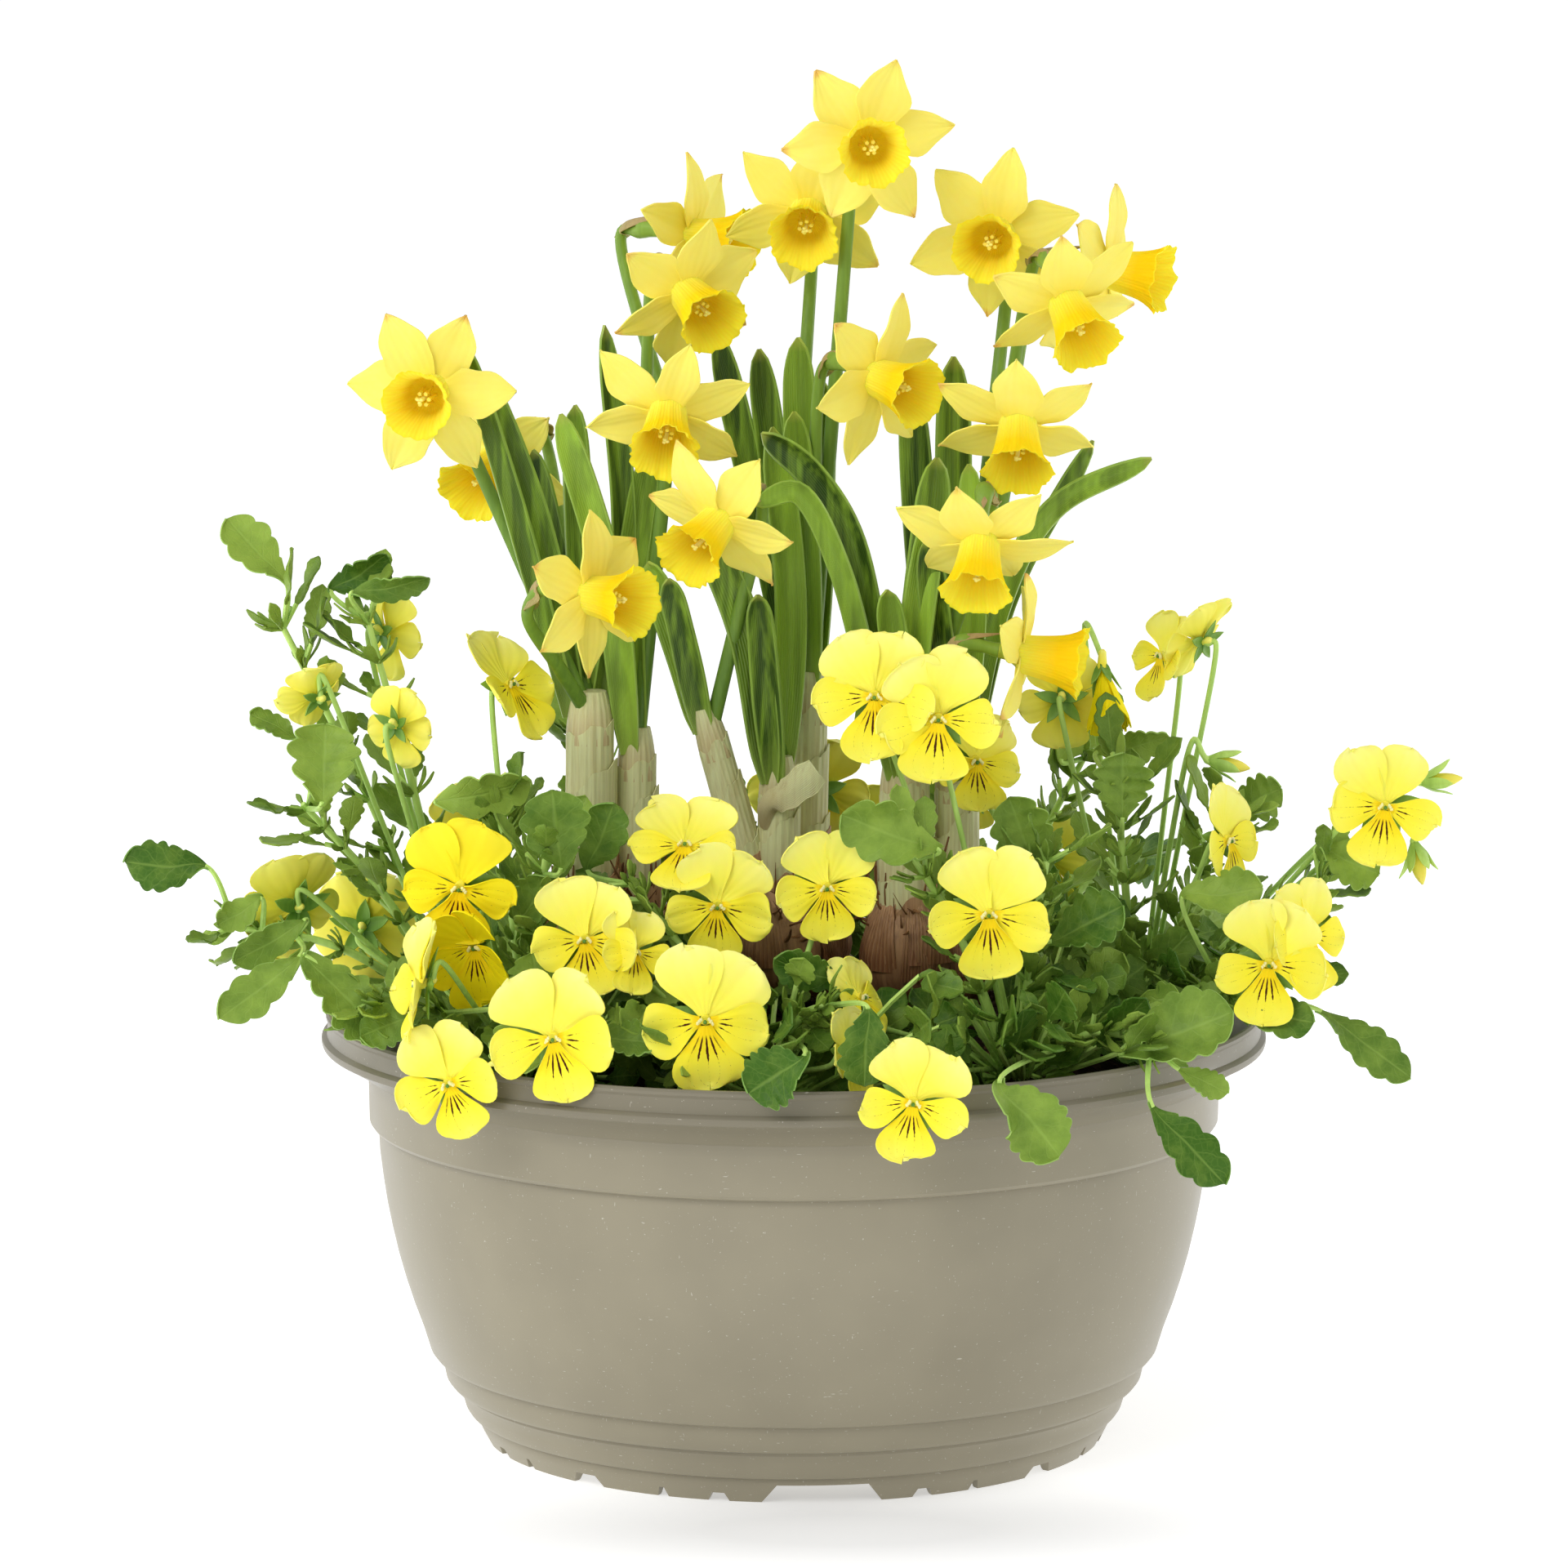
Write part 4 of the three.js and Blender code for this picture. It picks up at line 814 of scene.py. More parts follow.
def pansy_finish(name, pale, deep, whiskers=0, reach=0.0, throat=0.0):
    """Pansy petal: velvety yellow, pale at its edge, with fine brown lines that run out of the throat"""
    f = petal(name)
    u, v = f.across_and_along()
    veins = f.add("WAVE", f.add("ON_X", u), 0.8, 3.0, 2.0)
    cloud = f.grain(7)
    base = f.add("MIX", f.add("RANGE", v, 0.25, 0.95), deep, pale)
    base = f.over(base, deep, cloud, 0.4, 0.75, 0, 0.35)
    base = f.over(base, deep, f.add("MULTIPLY", veins, 0.04))
    base = f.over(base, paint("ffe814"), f.add("TONE"), 0.6, 1.0)
    if throat:
        ragged = f.add("ADD", v, f.add("MULTIPLY_ADD", f.grain(1.2), 0.2, -0.1))
        base = f.over(base, paint("fbd40c"), ragged, throat * 0.3, throat, 0.8, 0)
    if whiskers:
        # the middle lines run furthest, and each tapers to its end
        cell = f.add("PINGPONG", f.add("MULTIPLY_ADD", u, whiskers / 2, 0.5), 0.5)
        far = f.add("MULTIPLY_ADD", f.add("MULTIPLY", u, u), -0.45, reach)
        wobble = f.add("MULTIPLY_ADD", f.grain(1.2), 0.3, -0.15)
        left = f.add("SUBTRACT", f.add("ADD", far, wobble), v)
        taper = f.add("RANGE", left, 0.0, 0.16, 0.5, 0.32)
        line = f.add("GREATER_THAN", f.add("ADD", cell, f.add("MULTIPLY_ADD", f.grain(0.5), 0.1, -0.05)), taper)
        off = f.add("ABSOLUTE", u)
        inner = f.add("MULTIPLY", f.add("RANGE", off, 0.5, 0.72, 1, 0), f.add("RANGE", v, 0.1, 0.14))
        base = f.over(base, paint("4a200c"), f.add("MULTIPLY", line, inner))
    return f.done(base, f.add("MULTIPLY_ADD", cloud, 0.8, veins), 0.25, 0.3)


def leaf_finish(name, low, high, vein, under=False):
    """Pansy leaf: satin green, with faint veins that leave the midrib for the scallops"""
    f = Finish(name, Roughness=0.5 if under else 0.42, Subsurface_Weight=0.12,
               Subsurface_Radius=GREEN_TISSUE, Specular_IOR_Level=0.16)
    u, v = f.across_and_along()
    off = f.add("ABSOLUTE", u)
    wander = f.add("MULTIPLY_ADD", f.grain(3.5), 0.1, -0.05)
    slant = f.add("ADD", f.add("MULTIPLY_ADD", off, -0.26, v), wander)
    side_veins = f.add("RANGE", f.add("PINGPONG", f.add("MULTIPLY", slant, 5.0), 0.5), 0.0, 0.08, 0.6, 0)
    midrib = f.add("RANGE", off, 0.02, 0.09, 1, 0)
    net = f.add("RANGE", f.add("NET", f.place, 0.5), 0.0, 0.12, 0.25, 0)
    veins = f.add("MAXIMUM", f.add("MAXIMUM", side_veins, midrib), net)
    mottle = f.add("RANGE", f.grain(6, 4), 0.3, 0.7, -0.2, 0.2)
    base = f.add("MIX", f.add("ADD", f.add("TONE"), mottle, use_clamp=True), low, high)
    base = f.over(base, vein, f.add("MULTIPLY", veins, 0.55 if under else 0.3))
    return f.done(base, f.add("MULTIPLY", veins, 0.5 if under else -0.5), 0.5, 0.5)


# Each finish that has been made
MATERIALS = {}


def material(make, *values):
    """Each finish is made once and shared"""
    key = (make.__name__, str(values))
    if key not in MATERIALS:
        MATERIALS[key] = make(*values)
    return MATERIALS[key]


# ---------------------------------------------------------------------------- the bowl and what fills it

def make_bowl(settings):
    (floor_top, floor_under), inner = FLOOR, FOOT_INNER
    profile = [(0, floor_under), (inner - 0.6, floor_under), (inner, floor_under - 0.6), (inner, 0.4),
               (inner + 0.3, 0), *BOWL_OUTSIDE, *BOWL_INSIDE, (0, floor_top)]
    piece = Piece()
    piece.take(turned(profile, settings.sides))
    made = piece.finish("plastic_bowl", "bowl_plastic",
                        [material(plastic_finish, tuple(settings.colour), settings.roughness)], ["bowl"], sharp=28)
    cutter = foot_cutter()
    cut = made.modifiers.new("foot_cuts", "BOOLEAN")
    cut.operation, cut.solver, cut.object = "DIFFERENCE", "EXACT", cutter
    settle(made)
    bpy.data.objects.remove(cutter)


def foot_cutter():
    """The arches and notches of the foot, and the holes in the floor, as one cutting shape"""
    shape = bmesh.new()
    for quarter in range(4):
        for angle, low, high, height in FOOT_CUTS:
            verts = bmesh.ops.create_cube(shape, size=1)["verts"]
            for vert in verts:
                x, y, z = vert.co
                vert.co = (CUT_RADIUS + CUT_DEPTH * x, y * (high if z > 0 else low), height if z > 0 else -0.5)
            turn = Matrix.Rotation(math.radians(ARCH_AZIMUTH + 90 * quarter + angle), 3, "Z")
            bmesh.ops.rotate(shape, cent=(0, 0, 0), matrix=turn, verts=verts)
    for i in range(DRAIN["count"]):
        turn = math.radians(DRAIN["angle"] + 360 / DRAIN["count"] * i)
        bmesh.ops.create_cone(shape, cap_ends=True, segments=32, radius1=DRAIN["radius"], radius2=DRAIN["radius"],
                              depth=20, matrix=Matrix.Translation(polar(turn, DRAIN["reach"], 7)))
    bmesh.ops.scale(shape, vec=(MM, MM, MM), verts=shape.verts[:])
    return add_object("foot_cutter", mesh_from(shape, "foot_cutter"))


def settle(made):
    """Applies an object's modifiers"""
    bpy.context.view_layer.update()
    ready = bpy.data.meshes.new_from_object(made.evaluated_get(bpy.context.evaluated_depsgraph_get()))
    made.modifiers.clear()
    made.data = ready


def make_mix(settings):
    pick = random.Random(settings.seed)
    shape = turned([(r, mix_height(r)) for r in range(0, 116, 4)] + [*MIX_SIDE], steps=120)
    for vert in shape.verts:
        if vert.co.z > MIX_TOP[0][1] - 2:
            clods = noise.fractal(vert.co / 9, 0.9, 2.0, 4) + 0.6 * noise.noise(vert.co / 2.6)
            vert.co.z += 1.8 * clods - 0.8
    piece = Piece()
    piece.take(shape)
    for i in range(settings.crumbs):
        turn, radius = pick.random() * math.tau, 113 * math.sqrt(pick.random())
        long = pick.uniform(1.2, 4.2)
        at = polar(turn, radius, mix_height(radius) + 0.4)
        size = (long, long * pick.uniform(0.35, 0.8), long * pick.uniform(0.3, 0.6))
        piece.pebble(at, size, turn=pick.random() * math.tau, rough=0.7, pick=pick)
    piece.finish("growing_mix_surface", "growing_mix", [material(mix_finish, tuple(settings.colour))], ["soil"],
                 sharp=0)


SKIN, SHEATH, FIBRE = 0, 1, 2


def sheath_finish():
    return material(papery_finish, "leaf_sheath", "c6b488", "d6d8a4", "b09c68", 3.0, 0.45)


def make_bulbs():
    finishes = [
        material(papery_finish, "papery_bulb_skin", "8a5c3a", "c09870", "5e3826", 2.2, 0.55),
        sheath_finish(),
        material(papery_finish, "dry_fibres", "8a6038", "6b4528", "c49a68", 1.0, 0.8),
    ]
    for name, clump in BULBS.items():
        pick = random.Random(len(name))
        piece = Piece()
        for bulb in clump:
            add_bulb(piece, Vector(bulb["at"]), bulb["radius"], pick)
        for neck in NECKS.values():
            if neck["clump"] == name:
                add_sheaths(piece, neck, pick)
        if name == "centre":
            add_flap(piece)
        piece.finish("bulb_clump_" + name, "bulb_skin", finishes, ["bulbs_" + name])


# A bulb's radius up its height, as a share of its widest
BULB_FORM = ((0, 0.3), (0.08, 0.52), (0.25, 0.88), (0.42, 1.0), (0.6, 0.93), (0.78, 0.72), (0.92, 0.5), (1, 0.36))


def add_bulb(piece, at, radius, pick):
    """A bulb with ribbed skin, loose flakes of its outer coats and fibres round its shoulder"""
    phase = pick.random() * math.tau

    def skin(u, v, row, swell=1.0):
        turn = math.pi * u + phase
        ribs = 0.02 * math.sin(9 * turn) + 0.012 * math.sin(23 * turn + 2)
        r = radius * smooth(BULB_FORM, v) * (swell + ribs)
        return at + polar(turn, r, (BULB_BELOW + BULB_ABOVE) * v - BULB_BELOW)

    piece.sheet(40, 18, skin, closed=True, finish=SKIN)
    for i in range(9):
        start, wide = pick.uniform(-1, 1), pick.uniform(0.1, 0.26)
        low, high = pick.uniform(0.25, 0.45), pick.uniform(0.75, 1.05)
        swell, curl = pick.uniform(1.02, 1.08), pick.uniform(0.05, 0.35)

        def flake(u, v, row):
            torn = 0.05 * math.sin(17 * u + start * 9) + 0.03 * math.sin(41 * u)
            lift = swell + curl * v ** 3 + 0.03 * math.sin(5 * u + 9 * v)
            return skin(start + wide * u * (1 - 0.3 * v), low + (high + torn - low) * v, 0, lift)

        piece.sheet(12, 8, flake, thickness=0.25, finish=SKIN)
    for i in range(46):
        turn, v0 = pick.random() * math.tau, pick.uniform(0.55, 0.95)
        foot = skin(turn / math.pi, v0, 0, 1.05)
        out = level(foot - at).normalized()
        sway = 0.5 * pick.uniform(-1, 1) * UP.cross(out)
        tip = foot + pick.uniform(4, 17) * (UP * pick.uniform(-0.1, 1.1) + pick.uniform(0.2, 0.7) * out + sway)
        bend = foot.lerp(tip, 0.5) + pick.uniform(0.5, 2.5) * out
        wide = pick.uniform(0.2, 0.7)
        piece.blade(Route([foot, bend, tip]), lambda v: wide * (1 - 0.85 * v), [out], across=2, along=5, finish=FIBRE)


def add_sheaths(piece, neck, pick):
    """The papery neck over a bulb, and the pale sheaths that hold its leaves together"""
    foot, top = Vector(neck["foot"]), Vector(neck["top"])
    rise = (top - foot).normalized()
    wide = neck["width"] / 2
    reach = (top - foot).length
    sides = rise.orthogonal().normalized()
    other = rise.cross(sides)

    def wrap(low, high, swell, slant, phase, finish):
        def place(u, v, row):
            turn = math.pi * u + phase
            torn = 0.9 * math.sin(5 * turn) + 0.3 * math.sin(13 * turn + phase) + 0.12 * math.sin(31 * turn)
            up = low + (high - low) * v + slant * v * math.cos(turn + 1) + v ** 3 * torn
            creases = 0.02 * math.sin(5 * turn) + 0.012 * math.sin(13 * turn + 6 * v) + 0.01 * math.sin(29 * turn)
            r = wide * (swell + 0.16 * (1 - up / reach) + creases + 0.05 * v ** 4)
            return foot + rise * up + r * (math.cos(turn) * sides + math.sin(turn) * other)

        piece.sheet(44, 10, place, thickness=0.3, finish=finish)

    wrap(-4, 0.97 * reach, 0.88, 2, pick.random() * 6, SHEATH)
    wrap(-4, 0.7 * reach, 0.98, 6, pick.random() * 6, SHEATH)
    wrap(-5, 0.4 * reach, 1.04, 5, pick.random() * 6, SHEATH)
    wrap(-6, (0.32 if neck["clump"] == "centre" else 0.16) * reach, 1.1, 6, pick.random() * 6, SKIN)
    for i in range(22):
        turn = pick.random() * math.tau
        out = math.cos(turn) * sides + math.sin(turn) * other
        low = foot + pick.uniform(-0.1, 0.2) * reach * rise + 1.12 * wide * out
        tip = low + pick.uniform(5, 15) * rise + pick.uniform(0, 4) * out
        wide_here = pick.uniform(0.2, 0.6)
        piece.blade(Route([low, low.lerp(tip, 0.5) + 0.6 * out, tip]), lambda v: wide_here * (1 - 0.9 * v), [out],
                    across=2, along=5, finish=FIBRE)


# The strip of dry sheath that has peeled off the front of the middle clump
FLAP = ((-8.5, -29, 179), (-7, -32, 186), (-1.5, -34, 190), (6.4, -35, 196.5))


def add_flap(piece):
    form = ((0, 1.0), (0.25, 2.7), (0.6, 4.2), (0.9, 4.7), (1, 3.9))
    piece.blade(Route(FLAP), lambda v: smooth(form, v) * (1 + 0.06 * math.sin(31 * v)), [Vector((0.2, -1, 0.5))],
                across=8, along=18, dish=-0.25, wave=0.5, thickness=0.3, finish=SHEATH)


# ---------------------------------------------------------------------------- daffodils

STRAP_LEAF, SCAPE, SPATHE, INNER_SHEATH = 0, 1, 2, 3
SHOOTS = {"left": ("s1", "s2"), "centre": ("s3", "s4", "s5"), "right": ("s6", "s7")}
# A flower stem's radius up to its bloom, and a strap leaf's half width along it as a share of its width
SCAPE_FORM = ((0, 2.3), (0.3, 2.05), (0.6, 1.7), (0.68, 1.9), (0.76, 2.8), (0.84, 2.5), (0.92, 1.9), (1, 2.2))
STRAP_FORM = ((0.12, 0.4), (0.36, 0.475), (0.7, 0.46), (0.88, 0.42), (0.95, 0.3), (0.985, 0.16), (1, 0.02))


def make_shoots(settings):
    finishes = [
        material(strap_finish, paint("234208"), [*settings.leaf_colour, 1]),
        material(stem_finish, "daffodil_stem", "5f8430", "86a63c"),
        material(papery_finish, "papery_spathe", "a8a868", "c2a470", "8f7440", 3.0, 0.5),
        sheath_finish(),
    ]
    for name, necks in SHOOTS.items():
        pick = random.Random(7 + len(name))
        piece = Piece()
        for neck in necks:
            top, rise = neck_end(neck)
            wide = 0.475 * NECKS[neck]["width"]
            piece.tube(Route([top - 6 * rise, top + 2 * rise, top + 9 * rise]), lambda v: wide * (0.98 - 0.3 * v * v),
                       sides=20, rows=8, finish=INNER_SHEATH)
            for row in STRAPS:
                if row[0] == neck:
                    add_strap(piece, *row, pick)
            for row in DAFFODILS:
                if row[0] == neck:
                    add_scape(piece, row, pick)
        piece.finish("strap_leaves_" + name, "daffodil_leaf", finishes, ["shoot_" + name])


def add_strap(piece, neck, width, points, pick):
    """A strap leaf: channelled, a little twisted and rounded at its tip"""
    through, outward = strap_points(neck, points)
    face = 0.35 * outward + FRONT
    form = ((0, 2.4 / width), *STRAP_FORM)
    piece.blade(Route(through), lambda v: width * smooth(form, v), [face], across=8, along=32,
                dish=pick.uniform(0.35, 0.65), wave=pick.uniform(0.1, 0.3), phase=pick.random() * 6, thickness=0.7,
                finish=STRAP_LEAF, tone=pick.random() ** 2.1)


def add_scape(piece, row, pick):
    """A flower stem with the papery spathe at its crook"""
    neck, centre, aim, *rest = row
    sway = rest[2] if len(rest) > 2 else (0, 0, 0)
    route = Route(scape_points(neck, centre, aim, sway))
    piece.tube(route, lambda v: smooth(SCAPE_FORM, v), sides=10, rows=44, flat=0.86, finish=SCAPE)
    start, away = route.at(0.6), route.along(0.55)
    out = out_of(facing(aim, centre))
    up = (UP - UP.dot(out) * out + 0.3 * away).normalized()
    reach = pick.uniform(15, 21)
    through = [route.at(0.54), start + 0.4 * up, route.at(0.7) + 2.6 * up,
               route.at(0.7) + 4.0 * up + reach * 0.6 * (0.85 * out + 0.15 * up).normalized()]
    form = ((0, 0.5), (0.15, 2.2), (0.4, 3.1), (0.7, 2.2), (0.9, 0.9), (1, 0.1))
    piece.blade(Route(through), lambda v: smooth(form, v), [up], across=8, along=18, dish=-0.9,
                wave=0.2, phase=pick.random() * 6, thickness=0.25, finish=SPATHE)


TEPAL, TRUMPET, TUBE, STAMEN, STIGMA = range(5)
# A tepal's half width along it, and the trumpet's radius and height along its wall: out to the mouth and back in
TEPAL_FORM = ((0, 0.44), (0.15, 0.64), (0.3, 0.9), (0.46, 1.0), (0.62, 0.9), (0.78, 0.62), (0.9, 0.32), (0.97, 0.13),
              (1, 0.02))
TRUMPET_FORM = (
    (0, 5.4, -0.3), (0.08, 5.5, 1.5), (0.2, 5.9, 5), (0.33, 6.8, 10), (0.43, 8.0, 14), (0.5, 9.2, 16.4),
    (0.54, 9.8, 17.0), (0.57, 9.5, 17.1), (0.62, 8.6, 16.0), (0.7, 7.2, 12.8), (0.82, 5.7, 7.5), (0.93, 4.6, 3.6),
    (1, 0.4, 3.0),
)
TRUMPET_LENGTH = 17


def make_daffodils(settings):
    finishes = [
        material(tepal_finish, [*settings.tepal_colour, 1], paint("f9e23e")),
        material(trumpet_finish, [*settings.trumpet_colour, 1], paint("ffea40")),
        material(stem_finish, "flower_tube", "a3b83e", "e6de52"),
        material(stem_finish, "pollen", "ffe23c", "ffec60"),
        material(stem_finish, "stigma", "fff080", "fff8b0"),
    ]
    for number, row in enumerate(DAFFODILS):
        pick = random.Random(number)
        piece = Piece()
        placing = facing(row[2], row[1])
        for k in range(6):
            add_tepal(piece, placing, k, row[3], settings, pick)
        add_trumpet(piece, placing, settings, pick)
        piece.finish("daffodil_bloom_" + row[4], "daffodil_petal", finishes, ["daffodil_" + row[4]])


def add_tepal(piece, placing, k, bend, settings, pick):
    """One of six: the inner three stand before the outer ones, and all bend back towards their tips"""
    turn = math.radians(90 + 60 * k + pick.uniform(-3, 3))
    reach, half = settings.tepal_reach / MM, settings.tepal_width / MM / 2 * pick.uniform(0.78, 1.08)
    layer, twist, wave, phase = (-1) ** k, pick.uniform(-0.34, 0.34), pick.uniform(0.4, 1.6), pick.random() * 6
    long = reach * pick.uniform(0.9, 1.0)
    fold, lean, droop = pick.uniform(0.02, 0.22), pick.uniform(-1.6, 1.6), pick.uniform(-1.5, 1.2)

    def place(u, v, row):
        r = 2.6 + (long - 2.6) * v
        share = r / 26
        edge = 1 + 0.05 * math.sin(9 * v + phase) + 0.06 * u * math.sin(14 * v + 2 * phase)
        x = u * half * smooth(TEPAL_FORM, v) * edge + lean * v * v
        lift = 1.4 * layer * min(1, 1.6 * share) - (bend + droop) * share * share + 0.35
        lift += fold * abs(x) + twist * x * v + 0.4 * wave * u * u * math.sin(7 * v + phase + 2 * u)
        lift -= 0.35 * math.exp(-30 * u * u) * v
        at = Vector((r * math.cos(turn) + x * math.sin(turn), r * math.sin(turn) - x * math.cos(turn), lift))
        return placing @ at

    piece.sheet(10, 16, place, thickness=0.45, finish=TEPAL, tone=pick.random())


def add_trumpet(piece, placing, settings, pick):
    """The trumpet with its frilled mouth, the tube behind it, and the style and anthers within"""
    phase = pick.random() * math.tau
    long = settings.trumpet_length / MM / TRUMPET_LENGTH
    flare = pick.uniform(0.6, 1.3)
    radii, heights = [(s, r) for s, r, _ in TRUMPET_FORM], [(s, z) for s, _, z in TRUMPET_FORM]

    def place(u, v, row):
        turn = math.pi * u
        radius, height = smooth(radii, v), smooth(heights, v) * long
        rim = max(0, height - 8) / 9
        frill = 0.5 * math.cos(6 * turn + phase) + 0.34 * math.cos(19 * turn + 2 * phase) + 0.2 * math.cos(31 * turn)
        radius += rim * rim * flare * frill + 0.14 * math.cos(12 * turn) * min(1, 6 * v) * (v < 0.9)
        height += rim * rim * (0.35 * math.cos(12 * turn + phase) + 0.5 * flare * math.cos(6 * turn + 1))
        return placing @ polar(turn, radius, height)

    piece.sheet(66, 20, place, closed=True, finish=TRUMPET)
    back = Route([placing @ Vector((0, 0, z)) for z in (-6.2, -3.5, -1, 1)])
    piece.tube(back, lambda v: smooth(((0, 2.2), (0.3, 2.5), (0.6, 3.6), (0.85, 5.2), (1, 5.2)), v), sides=16, rows=8,
               finish=TUBE)
    style = Route([placing @ Vector((0, 0, 3)), placing @ Vector((0.2, 0, 8)), placing @ Vector((0, 0.3, 12))])
    piece.tube(style, lambda v: 0.55 + 0.1 * v, sides=6, rows=4, finish=STIGMA)
    for k in range(3):
        turn = k * math.tau / 3
        piece.pebble(placing @ Vector((0.55 * math.cos(turn), 0.3 + 0.55 * math.sin(turn), 12.3)), (0.7, 0.7, 0.55),
                     rough=0, finish=STIGMA)
    for k in range(6):
        turn = (k + 0.5) * math.tau / 6
        spots = [placing @ polar(turn, r, z) for r, z in ((2.4, 3.4), (1.9, 7), (1.7, 9.5))]
        piece.tube(Route(spots), lambda v: 0.28 + 0.35 * (v > 0.5), sides=5, rows=6, finish=STAMEN)


# ---------------------------------------------------------------------------- pansies

UPPER, SIDE, LIP, BACK, CALYX, BEARD = range(6)
# each petal: turn, how far its middle is, radius, widening, notch, layer, finish
PANSY_PETALS = (
    (61, 9.8, 8.5, 1.06, 0, -1.0, UPPER), (119, 9.8, 8.5, 1.06, 0, -0.45, UPPER),
    (-12, 9.1, 6.6, 1.1, 0, 0.2, SIDE), (192, 9.1, 6.6, 1.1, 0, 0.25, SIDE),
    (-90, 9.7, 7.2, 1.34, 0.1, 0.65, LIP),
)
# A petal's half width along it, as a share of its widest
PETAL_FORM = ((0, 0.16), (0.14, 0.3), (0.3, 0.54), (0.45, 0.78), (0.6, 0.95), (0.74, 1.0), (0.86, 0.89), (0.94, 0.66),
              (0.985, 0.36), (1, 0.02))
# How a few blooms differ: closed is how far they fold, and tone how deep their yellow is
MOODS = {6: {"tone": 0.95}, 7: {"tone": 1.0, "closed": 0.35}, 25: {"tone": 1.0, "closed": 0.85}}


def make_pansies(settings):
    upper, lower = [*settings.upper_colour, 1], [*settings.lower_colour, 1]
    finishes = [
        material(pansy_finish, "pansy_upper_petal", upper, paint("fdf258")),
        material(pansy_finish, "pansy_side_petal", lower, paint("fdec36"), 5, 0.33, 0.12),
        material(pansy_finish, "pansy_lip", lower, paint("fdea2c"), 7, 0.47, 0.34),
        material(pansy_finish, "pansy_petal_back", paint("fdf67c"), paint("f8ea4c")),
        material(stem_finish, "pansy_calyx", "4f7f28", "86ac48"),
        material(pansy_finish, "pansy_beard", paint("faf6c8"), paint("f6efa8")),
    ]
    clusters = {}
    for number, row in enumerate(PANSIES):
        clusters.setdefault(row[4], []).append((number, row))
    for name, rows in clusters.items():
        piece = Piece()
        for number, (_, centre, aim, size, _) in rows:
            add_pansy(piece, facing(aim, centre), size, random.Random(100 + number), MOODS.get(number, {}))
        piece.finish("pansy_bloom_" + name, "viola_petal", finishes, ["viola_" + name])


def add_pansy(piece, placing, size, pick, mood):
    """Five petals: two upper ones that lean back and overlap, two side ones that cup, and the lip"""
    closed, tone = mood.get("closed", 0), mood.get("tone", pick.uniform(0.0, 0.6))
    slim = math.sqrt(1 - closed * closed)
    swing, cup = pick.uniform(-13, 9), pick.uniform(-0.004, 0.02)
    for turn, middle, radius, widen, notch, layer, finish in PANSY_PETALS:
        turn = math.radians(turn + swing * (finish == UPPER) + pick.uniform(-6, 6))
        wave, phase, curl = pick.uniform(0.3, 1.1), pick.random() * 6, pick.uniform(-0.7, 0.5)
        grow, notch = size * pick.uniform(0.93, 1.02), notch * pick.uniform(-0.5, 1.6)
        plump, tilt, lobe = widen * pick.uniform(0.84, 1.04), pick.uniform(-0.12, 0.12), pick.uniform(0.2, 0.7)

        def place(u, v, row):
            t = 1 - (1 - v) ** 1.5
            r = 1.2 + (middle + radius - 1.2) * t
            r -= notch * radius * math.exp(-9 * u * u) * t ** 5
            r += t ** 3 * (lobe * math.sin(4.5 * u + phase) + 0.16 * math.sin(13 * u + 2 * phase) + tilt * radius * u)
            across = u * radius * plump * smooth(PETAL_FORM, t) * (1 + 0.04 * math.sin(7 * t + phase + u))
            x = r * math.cos(turn) + across * math.sin(turn)
            y = r * math.sin(turn) - across * math.cos(turn)
            lift = layer - 1 - 0.14 * y + cup * x * x
            lift += wave * (u * u * math.sin(6 * t + phase) + 0.5 * t * t * math.sin(5 * u + phase))
            lift += curl * t ** 3 * 2 - 0.5 * math.exp(-14 * u * u) * t
            lift += closed * math.hypot(x, y)
            return placing @ Vector((grow * slim * x, grow * slim * y, lift))

        piece.sheet(12, 12, place, thickness=0.35, finish=finish, under=BACK, tone=tone)
    for side in (-1, 1):
        for k in range(3):
            at = placing @ (size * Vector(((1.0 + 0.4 * k) * side, 0.4 - 0.5 * k, 0.3)))
            piece.pebble(at, (0.5, 0.5, 0.6), rough=0.5, pick=pick, finish=BEARD)
    piece.pebble(placing @ Vector((0, -0.3, 0.3)), (0.65, 0.65, 0.65), rough=0.1, pick=pick, finish=CALYX)
    add_calyx(piece, placing, size, closed, pick)


def add_calyx(piece, placing, size, closed, pick):
    """The five pointed sepals behind a bloom, and its spur"""
    form = ((0, 1.3), (0.3, 2.1), (0.65, 1.6), (1, 0.08))
    for k in range(5):
        turn = math.radians(90 + 72 * k + pick.uniform(-9, 9))
        curl, long = pick.uniform(0.0, 0.035), pick.uniform(8.6, 10.4)
        points = []
        for r in (0.8, 0.35 * long, 0.7 * long, long):
            x, y = r * math.cos(turn), r * math.sin(turn)
            back = -3.1 - 0.14 * y - curl * r * r + closed * 1.25 * r
            points.append(placing @ Vector((size * x * (1 - 0.4 * closed), size * y * (1 - 0.4 * closed), back)))
        piece.blade(Route(points), lambda v: size * smooth(form, v), [placing.col[2].to_3d()], across=4, along=8,
                    dish=-0.3, thickness=0.3, finish=CALYX)
    spur = Route([placing @ Vector((0, y, z)) for y, z in ((0, -0.8), (0.6, -3.4), (1.6, -6))])
    piece.tube(spur, lambda v: 1.5 - 0.5 * v if v < 0.95 else 0.5, sides=8, rows=8, finish=BACK)


LEAF_TOP, LEAF_UNDER, GREEN_STEM, BUD_TIP = 0, 1, 2, 3
# A leaf's half width along its blade, as a share of its widest
LEAF_FORM = ((0, 0.1), (0.08, 0.17), (0.2, 0.4), (0.34, 0.72), (0.48, 0.92), (0.6, 1.0), (0.74, 0.97), (0.86, 0.78),
             (0.94, 0.52), (0.98, 0.28), (1, 0.03))


